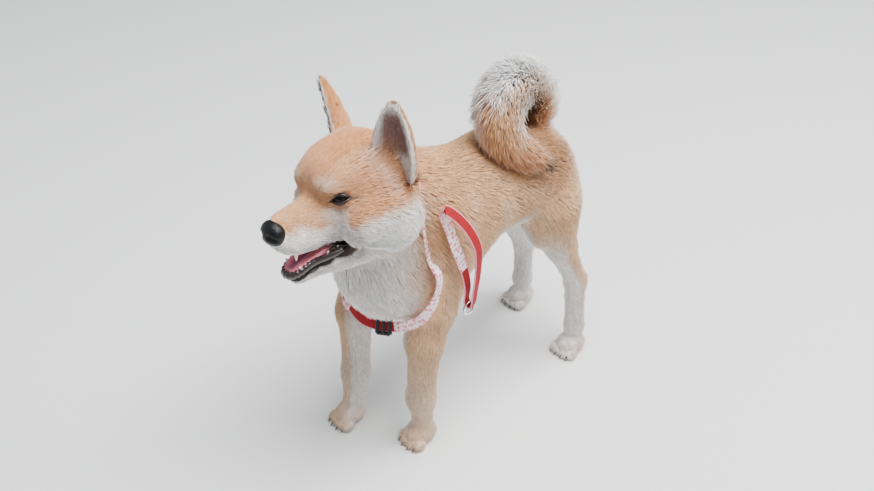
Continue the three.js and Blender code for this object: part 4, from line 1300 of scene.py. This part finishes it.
# %% Lid rims
def lid_rim(name):
    """A tube along the slit's edge: across from corner to corner above and back below, raised onto
    a ball a little larger than the eye."""
    level, up, out = eye_axes(EYE_SIDES[name])
    turn = np.linspace(0, 2 * math.pi, 72, endpoint=False)
    across = EYE_HALF_SLIT * 0.99 * np.cos(turn)
    bow = 1 - (across / EYE_HALF_SLIT) ** 2
    rise = np.where(np.sin(turn) > 0, EYE_UPPER, EYE_LOWER) * bow * np.sign(np.sin(turn))
    radius = EYE_RADIUS + 0.55
    ahead = np.sqrt(np.maximum(radius ** 2 - across ** 2 - rise ** 2, 4.0))
    line = eye_centres[name] + across[:, None] * level + rise[:, None] * up + ahead[:, None] * out
    # Painted shadow: the rim is thicker above, where the lashes' shadow falls
    thickness = 0.85 + 0.3 * np.clip(np.sin(turn), 0, 1)
    line = np.concatenate([line, line[:1]])
    rings = tapered(line, np.append(thickness, thickness[0]), 10)
    return round_grid(from_head(rings))


rim_skin = grained_material("black moist skin", 0.42, ("#15100f", "#2c211f"), 1100.0, 2.0,
                            (0.5, 0.0003), IOR=1.42, Coat_Weight=0.3)
for name in EYE_SIDES:
    finish_piece(new_piece(f"lid_rim_{name[4:]}", *lid_rim(name)), rim_skin)

# %% [markdown]
# ## Nose
# The nose leather is a rounded block with two comma-shaped nostrils and a groove between them. It
# is meshed from a field as the skin was, at half a millimetre. Its pebbles are about a millimetre
# across, so they are a cell pattern in the bump.

# %% Nose leather
def nose_field(h):
    """The nose's ball, less two nostrils that run out to the side, less the groove below."""
    form = ball(NOSE_MIDDLE, NOSE_RADII - 0.15)(h)
    for side in BOTH_SIDES:
        opening = limb((side * 5.4, -65.2, -22.2), 2.9, (side * 11.2, -60.5, -24.6), 1.7)(h)
        form = -soft_min(-form, opening, 1.2)
    groove = limb((0, -67.6, -19.5), 0.45, (0, -63.8, -32), 0.75)(h)
    return -soft_min(-form, groove, 0.8)


NOSE_ROOM, NOSE_STEP, NOSE_BAND = np.array([14, 11, 12.5]), 0.5, 3.0
nose_points, *nose_faces = surface_of(
    nose_field, NOSE_MIDDLE - NOSE_ROOM, NOSE_MIDDLE + NOSE_ROOM, NOSE_STEP, 0.0, NOSE_BAND)
nose_faces = [f for f in facing_out(nose_points, nose_faces)[0] if len(f)]
nose = new_piece("nose_leather", from_head(nose_points), nose_faces)
leather, leather_tree, leather_shader = new_material("pebbled nose leather", 0.42, IOR=1.45)
leather_shader.inputs["Specular IOR Level"].default_value = 0.3
leather_place = add_node(leather_tree, "ShaderNodeTexCoord")
PEBBLE_SCALE = 1 / 0.0011
pebbles = add_node(leather_tree, "ShaderNodeTexVoronoi", inputs={
    "Vector": leather_place.outputs["Object"], "Scale": PEBBLE_SCALE})
# Painted shade: the leather is darker towards the edges of the cells, in the grooves between the pebbles
leather_and_groove_shade = add_node(leather_tree, "ShaderNodeMixRGB", inputs={
    "Fac": pebbles.outputs["Distance"], "Color1": rgba("#101013"), "Color2": rgba("#050505")})
leather_tree.links.new(leather_and_groove_shade.outputs["Color"], leather_shader.inputs["Base Color"])
pebble_height = add_node(leather_tree, "ShaderNodeMath", {"operation": "SUBTRACT"}, {
    0: 1.0, 1: pebbles.outputs["Distance"]})
bumped(leather_tree, leather_shader, pebble_height.outputs["Value"], 0.45, 0.0004)
finish_piece(nose, leather, ["nose"])
print("nose:", len(nose_points), "points")

# %% [markdown]
# ## Tongue
# A resting tongue is a soft blade: broad, thin at its edges, with a groove down its middle that is
# more mauve than the pink rim. It curls down over the front teeth.

# %% Tongue
TONGUE_MIDDLE, TONGUE_RADII = np.array([0, -22.6, -48.2]), np.array([12.3, 27.0, 4.8])
TONGUE_DIP = math.radians(24)


def tongue_grid():
    """An ellipsoid with a squarer outline: rings round its long axis, with the top lowered by a
    bell curve across, which makes the groove, and raised at both rims."""
    share = np.linspace(0.03, math.pi - 0.03, 48)
    angle = np.linspace(0, 2 * math.pi, 56, endpoint=False)
    long = -np.cos(share)[:, None] * np.ones(56)
    girth = np.sin(share)[:, None] ** 0.62
    x = girth * np.cos(angle)
    z = girth * np.sin(angle) * np.where(np.sin(angle) > 0, 1, 0.8)
    groove = np.exp(-(x / 0.26) ** 2) * girth
    rim = np.exp(-((np.abs(x) - 0.72) / 0.22) ** 2)
    z = np.where(np.sin(angle) > 0, z * 0.82 - 0.5 * groove + 0.2 * rim * girth, z)
    local = np.stack([x, -long, z], -1) * TONGUE_RADII
    turned = local @ turn_about("x", TONGUE_DIP).T
    return round_grid(from_head(turned + TONGUE_MIDDLE)), groove.reshape(-1)


(tongue_points, tongue_faces, tongue_uv), tongue_groove = tongue_grid()
tongue = new_piece("tongue_blade", tongue_points, tongue_faces, tongue_uv)
groove_share = np.append(tongue_groove, [0, 0])[:, None]
pink, mauve = linear("#d8707f"), linear("#8c4a62")
store_colours(tongue, pink + (mauve - pink) * np.clip(groove_share * 1.1, 0, 1))
flesh_pink, flesh_tree, flesh_shader = new_material("moist tongue", 0.4, IOR=1.4, Coat_Weight=0.35,
                                                    Coat_Roughness=0.25)
flesh_shader.inputs["Subsurface Weight"].default_value = 0.15
flesh_shader.inputs["Subsurface Scale"].default_value = 0.004
flesh_colour = add_node(flesh_tree, "ShaderNodeAttribute", {"attribute_name": "marking"})
flesh_place = add_node(flesh_tree, "ShaderNodeTexCoord")
papillae = add_node(flesh_tree, "ShaderNodeTexVoronoi", inputs={
    "Vector": flesh_place.outputs["Object"], "Scale": 1 / 0.0009})
flesh_tree.links.new(flesh_colour.outputs["Color"], flesh_shader.inputs["Base Color"])
bumped(flesh_tree, flesh_shader, papillae.outputs["Distance"], 0.35, 0.0003)
finish_piece(tongue, flesh_pink, ["tongue"])

# %% [markdown]
# ## Lips
# The lower lip is a black, wet, slightly crinkled band from the corner of the mouth to the chin.
# The upper lip shows only a thin dark edge. Each is a tube whose line is found on the jaw or the
# muzzle by marching outwards from the middle of the mouth until the field reaches the surface.

# %% Lip bands
def lip_line(field, slope, depth, start_y, count=60, open_angle=1.72):
    """Rays fan out from the middle line over the lip's plane, from one corner round the front to
    the other. Each ends where the field is zero, less the depth of the coat."""
    angle = np.linspace(-open_angle, open_angle, count)
    direction = np.stack([np.sin(angle), -np.cos(angle), -np.cos(angle) * slope], -1)
    start = np.array([0, start_y, MOUTH_CORNER[1] + slope * (start_y - MOUTH_CORNER[0])])
    steps = np.arange(0, 60, 0.4)
    rays = start + direction[:, None] * steps[:, None]
    reach = steps[(field(rays) + depth >= 0).argmax(1)]
    return start + direction * reach[:, None]


def lip_band(field, slope, depth, start_y, thick, high):
    """A flattened tube along the lip's line, thinner towards both corners."""
    line, _ = evenly(lip_line(field, slope, depth, start_y), 90)
    share = np.abs(np.linspace(-1, 1, 90))
    crinkle = 1 + 0.1 * np.sin(np.arange(90) * 1.9) + 0.06 * np.sin(np.arange(90) * 4.3)
    radii = thick * (1 - 0.45 * share ** 3) * crinkle
    return round_grid(from_head(tapered(line, radii, 12, high, (0, 0, 1))))


lower_lip = lip_band(jaw, LOWER_LIP_SLOPE, 0.0, -12, 2.7, 1.2)
upper_lip = lip_band(skull_and_muzzle, -UPPER_LIP_SLOPE, 0.8, -10, 1.0, 1.1)
wet_lip = grained_material("wet black lip", 0.3, ("#120d0c", "#3a2a28"), 700.0, 4.0,
                           (0.6, 0.0006), IOR=1.42, Coat_Weight=0.5, Coat_Roughness=0.15)
finish_piece(new_piece("lips", *joined_grids([lower_lip, upper_lip])), wet_lip)

# %% [markdown]
# ## Teeth and claws
# Milk teeth are thin and sharp: curved canines, small incisors and low cheek teeth. The claws are
# dark horn. Both are one shape, a bent horn whose radius shrinks to its tip.

# %% Horn shapes
def graded_material(name, roughness, ior, root_code, tip_code):
    """One colour at the root that turns into another at the tip, along the piece's own map."""
    material, tree, shader = new_material(name, roughness, IOR=ior)
    maps = add_node(tree, "ShaderNodeUVMap", {"uv_map": "weave"})
    parts = add_node(tree, "ShaderNodeSeparateXYZ", inputs={"Vector": maps.outputs["UV"]})
    colour = add_node(tree, "ShaderNodeMixRGB", inputs={
        "Fac": parts.outputs["Y"], "Color1": rgba(root_code), "Color2": rgba(tip_code)})
    tree.links.new(colour.outputs["Color"], shader.inputs["Base Color"])
    return material


def horn(root, tip, radius, bow, columns=10):
    """A bent line whose radius falls with the square root of 1 - t, so that its tip is round."""
    line = bent_line(root, tip, bow)
    t = np.linspace(0, 1, len(line))
    return tapered(line, radius * np.maximum(1 - t, 0.03) ** 0.5, columns)


def teeth():
    """Each side's lower and upper canine, three lower incisors and three lower cheek teeth."""
    grids = []
    for side in BOTH_SIDES:
        shapes = [((7.6, -36, -58), (10.2, -40.6, -51.2), 2.0, (0, -0.8, 0)),
                  ((9.5, -41, -36), (9.6, -43.2, -46), 2.0, (0, -0.8, 0))]
        shapes += [((1.3 + 2.1 * i, -43 + i, -61), (1.3 + 2.1 * i, -44.6 + i, -55.8),
                    1.15, (0, -0.3, 0)) for i in range(3)]
        shapes += [((10 + 2.4 * i, -24 + 8 * i, -54 + 3.6 * i),
                    (12 + 2.4 * i, -24 + 8 * i, -47.4 + 3.6 * i),
                    2.2, (0, 0, 0)) for i in range(3)]
        for root, tip, radius, bow in shapes:
            grids.append(round_grid(from_head(horn(root, tip, radius, bow) * [side, 1, 1])))
    return joined_grids(grids)


enamel = graded_material("tooth enamel", 0.22, 1.62, "#d9c9a8", "#f6f1e4")
finish_piece(new_piece("teeth", *teeth()), enamel)

claw_horn = graded_material("claw horn", 0.35, 1.54, "#5d4a3f", "#1b1513")


def claws():
    """A claw ahead of every toe, bent down to just above the floor."""
    grids = []
    for joints in LEGS.values():
        for toe in toe_places(joints[-1]):
            root = toe + (0, -PAW["toe"] + 2.2, 0.6)
            tip = root + (0, -6.2, -3.8)
            grids.append(round_grid(horn(root, tip, 1.35, (0, 0, 0.9))))
    return joined_grids(grids)


finish_piece(new_piece("claws", *claws()), claw_horn)

# %% [markdown]
# ## Whiskers
# The whiskers stand in three rows on each side of the muzzle, with one over each eye. They are
# stiff hairs that taper to nothing, so each is a very thin horn.

# %% Whiskers
def whiskers():
    """Rows along the muzzle: each whisker leaves its side outwards and back, bowed a little down."""
    grids = []
    draw = np.random.default_rng(7)
    for side in BOTH_SIDES:
        for row in range(3):
            for place in range(3):
                root = np.array([13.0 + 0.8 * place, -40 + 6 * place, -26 - 4.2 * row])
                out = np.array([14 + 3 * place, 12 + 6 * place, 3 - 2 * row]) * draw.uniform(0.8, 1.15)
                grids.append((root, root + out, (0, 1.5, -1.5)))
        grids.append((np.array([17.0, -17, 16]), np.array([24.0, -10, 30]), (1, -2, 0)))
        for index in range(len(grids) - 10, len(grids)):
            root, tip, bow = grids[index]
            shape = horn(root, tip, 0.12, bow, 5) * [side, 1, 1]
            grids[index] = round_grid(from_head(shape))
    return joined_grids(grids)


whisker_hair = graded_material("whisker", 0.4, 1.55, "#2a211d", "#8d8378")
finish_piece(new_piece("whiskers", *whiskers()), whisker_hair)
print("face pieces done")

# %% [markdown]
# ## Harness webbing
# Narrow nylon webbing is woven flat, with a paler selvedge, and a printed ribbon is sewn on for
# part of its run. Each strap is a rounded band swept along its line, with a map that runs in
# millimetres along and across, so the weave and the print can be drawn from it.

# %% Swept bands
LOOP_RIBBON, TAB_RIBBON = 0.315, 0.27
WIDTH_POWER, THICKNESS_POWER = 0.35, 0.6


def signed_power(v, power):
    """The size of a number raised to a power, with its sign kept."""
    return np.sign(v) * np.abs(v) ** power


def band(line, facing, width, thickness, columns=20):
    """A rounded rectangle carried along a closed line: its width lies square to the line and to the
    way the band faces. The section is a circle raised to one power along the width and another along
    the thickness. The map holds the share along the line and the place across the section."""
    line, facing = line[:-1], facing[:-1]
    along = unit(np.roll(line, -1, 0) - np.roll(line, 1, 0))
    across = unit(np.cross(along, facing))
    out = np.cross(across, along)
    angle = np.linspace(0, 2 * math.pi, columns, endpoint=False) + math.pi / columns
    wide = signed_power(np.cos(angle), WIDTH_POWER) * width / 2
    thick = signed_power(np.sin(angle), THICKNESS_POWER) * thickness / 2
    rings = line[:, None] + across[:, None] * wide[:, None] + out[:, None] * thick[:, None]
    rows = len(rings)
    row, column = np.meshgrid(np.arange(rows), np.arange(columns), indexing="ij")
    corners = ((0, 0), (0, 1), (1, 1), (1, 0))
    quads = np.stack([(row + r) % rows * columns + (column + c) % columns for r, c in corners],
                     -1).reshape(-1, 4)
    u = np.stack([row, row, row + 1, row + 1], -1) / rows
    v = wide / width + 0.5
    v_right = np.roll(v, -1)
    v_all = np.stack([v[column], v_right[column], v_right[column], v[column]], -1)
    uv = np.stack([u, v_all], -1).reshape(-1, 2)
    points = rings.reshape(-1, 3)
    if signed_volume(points - points.mean(0), all_as_triangles([quads])) < 0:
        quads = quads[:, ::-1]
        uv = uv.reshape(-1, 4, 2)[:, ::-1].reshape(-1, 2)
    return points, quads, uv


loop_facing = outward(cloth_field, loop_line)
# On the breast the thick hair below tips the webbing upwards, and at the side the ruff turns it back
breast = ease(-loop_line[:, 1], 104, 122)[:, None]
flank = (ease(loop_line[:, 0], 30, 50) * ease(loop_line[:, 2], 170, 200))[:, None]
loop_facing = unit(loop_facing + breast * np.array([0, -0.2, 1.1]) + flank * np.array([0, 0.55, 0]))
sunk = 7.5 * ease(loop_line[:, 2], 208, 232)[:, None]
webbing_line = loop_line + breast * np.array([0, -1.6, 1.2]) - loop_facing * sunk
tab_facing = outward(cloth_field, tab_line)

# %% [markdown]
# ## Webbing and print
# The weave is one wave of diagonal bands. The print is a field of small blossoms, made from the
# cells of a Voronoi pattern: a red and pink heart in a ring of white on pale pink.

# %% Webbing material
def webbing_material(name, length, ribbon_share):
    """Red weave whose edges turn pale pink between 0.38 and 0.43 of the width from the middle, and
    blossoms on the first share of the band's run."""
    material, tree, shader = new_material(name, 0.72, IOR=1.5)
    shader.inputs["Specular IOR Level"].default_value = 0.3
    maps = add_node(tree, "ShaderNodeUVMap", {"uv_map": "weave"})
    scaled = add_node(tree, "ShaderNodeVectorMath", {"operation": "MULTIPLY"}, {
        0: maps.outputs["UV"], 1: (length, WEBBING_WIDTH, 1.0)})
    parts = add_node(tree, "ShaderNodeSeparateXYZ", inputs={"Vector": maps.outputs["UV"]})
    weave = add_node(tree, "ShaderNodeTexWave", {"wave_type": "BANDS", "bands_direction": "DIAGONAL"}, {
        "Vector": scaled.outputs["Vector"], "Scale": 0.55, "Distortion": 0.6})
    red = add_node(tree, "ShaderNodeMixRGB", inputs={
        "Fac": weave.outputs["Fac"], "Color1": rgba("#74040f"), "Color2": rgba("#ad0a1b")})
    middle = add_node(tree, "ShaderNodeMath", {"operation": "SUBTRACT"}, {0: parts.outputs["Y"], 1: 0.5})
    away = add_node(tree, "ShaderNodeMath", {"operation": "ABSOLUTE"}, {0: middle.outputs["Value"]})
    edge = add_node(tree, "ShaderNodeMapRange", inputs={
        "Value": away.outputs["Value"], "From Min": 0.38, "From Max": 0.43})
    edged = add_node(tree, "ShaderNodeMixRGB", inputs={
        "Fac": edge.outputs["Result"], "Color1": red.outputs["Color"], "Color2": rgba("#e08a98")})
    cells = add_node(tree, "ShaderNodeTexVoronoi", inputs={
        "Vector": scaled.outputs["Vector"], "Scale": 0.24, "Randomness": 0.45})
    flower = add_node(tree, "ShaderNodeValToRGB", inputs={"Fac": cells.outputs["Distance"]})
    set_stops(flower, [(0.0, "#b3142a"), (0.12, "#cf3f55"), (0.2, "#ee9fab"), (0.4, "#e27f8f"),
                       (0.47, "#f7e9ea"), (0.8, "#f4dfe2")])
    printed = add_node(tree, "ShaderNodeMath", {"operation": "LESS_THAN"}, {
        0: parts.outputs["X"], 1: ribbon_share})
    final = add_node(tree, "ShaderNodeMixRGB", inputs={
        "Fac": printed.outputs["Value"], "Color1": edged.outputs["Color"],
        "Color2": flower.outputs["Color"]})
    tree.links.new(final.outputs["Color"], shader.inputs["Base Color"])
    bumped(tree, shader, weave.outputs["Fac"], 0.5, 0.0003)
    return material


loop_cloth = webbing_material("red woven webbing with printed ribbon", loop_length, LOOP_RIBBON)
tab_cloth = webbing_material("webbing tab with printed ribbon", tab_length, TAB_RIBBON)
neck_band = band(webbing_line, loop_facing, WEBBING_WIDTH, WEBBING_THICKNESS)
tab_band = band(tab_line, tab_facing, WEBBING_WIDTH * 0.94, WEBBING_THICKNESS * 0.9)
finish_piece(new_piece("neck_webbing", *neck_band), loop_cloth, ["harness_loop"])
finish_piece(new_piece("tab_webbing", *tab_band), tab_cloth, ["harness_tab"])
print("webbing done")

# %% [markdown]
# ## Slide, keeper and ring
# The slide is a moulded plastic frame with a bar across its middle, through which the webbing is
# threaded to set its length. The keeper is a folded band of the printed ribbon. The ring is a loop
# of bright wire from which a lead could hang.

# %% Fittings
def nearest_spot(node):
    """The sample of the loop's line nearest to the middle of a node's box."""
    low, high = (np.array(corner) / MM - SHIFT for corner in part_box(node))
    return int(np.linalg.norm(loop_line - (low + high) / 2, axis=1).argmin())


BLOCK_POWER, SLIDE_LIFT = 0.28, 0.6
SLIDE_SIZE, KEEPER_SIZE = (15, 16, 3.6), (10, 13.6, 4.8)


def loop_axes(spot):
    """Along the loop, across it and out of the coat, at one of its samples."""
    along = unit(loop_line[(spot + 1) % LOOP_ROWS] - loop_line[spot - 1])
    across = unit(np.cross(along, loop_facing[spot]))
    return along, across, np.cross(across, along)


def placed_block(spot, size):
    """A rounded block on the loop at one of its samples: points, faces and UV of a grid whose
    rings are squarish and shrink at both ends."""
    along, across, out = loop_axes(spot)
    polar = np.linspace(0.02, math.pi - 0.02, 15)
    angle = np.linspace(0, 2 * math.pi, 32, endpoint=False)
    long = signed_power(-np.cos(polar), BLOCK_POWER)[:, None, None] * along * size[0] / 2
    girth = signed_power(np.sin(polar), BLOCK_POWER)[:, None, None]
    circle = (signed_power(np.cos(angle), BLOCK_POWER)[:, None] * across * size[1] / 2
              + signed_power(np.sin(angle), BLOCK_POWER)[:, None] * out * size[2] / 2)
    return round_grid(webbing_line[spot] + long + girth * circle)


def slide_frame(spot, size):
    """Two long rails and three bars, each a rounded block, as one moulded frame over the loop."""
    along, across, _ = loop_axes(spot)
    middle = webbing_line[spot] + loop_facing[spot] * SLIDE_LIFT
    length, width, thickness = size
    half_long, half_wide = length / 2 - 1.3, width / 2 - 1.2
    corners = [(-half_long, -half_wide), (half_long, -half_wide), (half_long, half_wide),
               (-half_long, half_wide)]
    runs = [(corners[i], corners[(i + 1) % 4]) for i in range(4)] + [((0, -half_wide), (0, half_wide))]
    grids = []
    for a, b in runs:
        t = np.linspace(0, 1, 12)[:, None]
        start = middle + along * a[0] + across * a[1]
        end = middle + along * b[0] + across * b[1]
        grids.append(round_grid(tapered(start + (end - start) * t, np.full(12, thickness * 0.55), 16)))
    return joined_grids(grids)


black_plastic, plastic_tree, plastic_shader = new_material("black moulded plastic", 0.32, IOR=1.5)
plastic_place = add_node(plastic_tree, "ShaderNodeTexCoord")
plastic_grain = add_node(plastic_tree, "ShaderNodeTexNoise", inputs={
    "Vector": plastic_place.outputs["Object"], "Scale": 1500.0})
plastic_shader.inputs["Base Color"].default_value = rgba("#161618")
bumped(plastic_tree, plastic_shader, plastic_grain.outputs["Fac"], 0.3, 0.0001)
slide = new_piece("slide_frame", *slide_frame(nearest_spot("harness_slide"), SLIDE_SIZE))
finish_piece(slide, black_plastic, ["harness_slide"])

print_cloth, print_tree, print_shader = new_material("pale printed ribbon", 0.7, IOR=1.5)
print_place = add_node(print_tree, "ShaderNodeTexCoord")
print_cells = add_node(print_tree, "ShaderNodeTexVoronoi", inputs={
    "Vector": print_place.outputs["Object"], "Scale": 260.0})
print_colour = add_node(print_tree, "ShaderNodeMixRGB", inputs={
    "Fac": print_cells.outputs["Distance"], "Color1": rgba("#c9506a"), "Color2": rgba("#f6dfe2")})
print_tree.links.new(print_colour.outputs["Color"], print_shader.inputs["Base Color"])
bumped(print_tree, print_shader, print_cells.outputs["Distance"], 0.3, 0.0002)
keeper = new_piece("ribbon_keeper", *placed_block(nearest_spot("harness_keeper"), KEEPER_SIZE))
finish_piece(keeper, print_cloth, ["harness_keeper"])

RING_RADIUS, RING_WIRE = 6.4, 1.0
ring_middle = (tab_down[-1] + tab_up[0]) / 2 - (0, 0, 3.9)
turn = np.linspace(0, 2 * math.pi, 73)
ring_line = ring_middle + np.stack([turn * 0, np.cos(turn), np.sin(turn)], -1) * RING_RADIUS
ring_facing = np.tile([1.0, 0, 0], (73, 1))
ring_points, ring_faces, ring_uv = band(ring_line, ring_facing, RING_WIRE * 2, RING_WIRE * 2, 14)
ring_steel, ring_tree, ring_shader = new_material("bright plated wire", 0.18, IOR=2.0)
ring_shader.inputs["Metallic"].default_value = 1.0
ring_shader.inputs["Base Color"].default_value = rgba("#dadce0")
ring_place = add_node(ring_tree, "ShaderNodeTexCoord")
ring_grain = add_node(ring_tree, "ShaderNodeTexNoise", inputs={
    "Vector": ring_place.outputs["Object"], "Scale": 900.0})
bumped(ring_tree, ring_shader, ring_grain.outputs["Fac"], 0.2, 0.0001)
finish_piece(new_piece("wire_ring", ring_points, ring_faces, ring_uv), ring_steel,
             ["harness_ring"])

# %% [markdown]
# ## Floor and light
# The puppy stands on a plain pale floor in soft daylight that comes from above and a little behind.

# %% Stage
FLOOR_HALF = 6.0
floor_mesh = bpy.data.meshes.new("floor")
floor_mesh.from_pydata([(-FLOOR_HALF, -FLOOR_HALF, 0), (FLOOR_HALF, -FLOOR_HALF, 0),
                        (FLOOR_HALF, FLOOR_HALF, 0), (-FLOOR_HALF, FLOOR_HALF, 0)], [], [(0, 1, 2, 3)])
floor = bpy.data.objects.new("floor", floor_mesh)
bpy.context.scene.collection.objects.link(floor)
floor_paint, _, floor_shader = new_material("matt floor paint", 0.8)
floor_shader.inputs["Base Color"].default_value = rgba("#dcdcda")
floor_mesh.materials.append(floor_paint)

LAMPS = {
    "sky lamp": ((0.5, 0.1, 2.1), 1.3, 118.0), "fill lamp": ((-1.2, -1.1, 1.0), 1.8, 5.0),
    "rear lamp": ((0.7, 1.4, 1.5), 1.4, 34.0),
}
for name, (spot, size, watts) in LAMPS.items():
    lamp_data = bpy.data.lights.new(name, "AREA")
    lamp_data.size = size
    lamp_data.energy = watts
    lamp = bpy.data.objects.new(name, lamp_data)
    lamp.location = spot
    lamp.rotation_euler = (Vector((0, 0, 0.2)) - Vector(spot)).to_track_quat("-Z", "Y").to_euler()
    bpy.context.scene.collection.objects.link(lamp)
world = bpy.data.worlds.new("pale sky")
world.use_nodes = True
world.node_tree.nodes["Background"].inputs["Color"].default_value = rgba("#dce6f4")
world.node_tree.nodes["Background"].inputs["Strength"].default_value = 0.5
bpy.context.scene.world = world
print("lamps:", ", ".join(LAMPS))
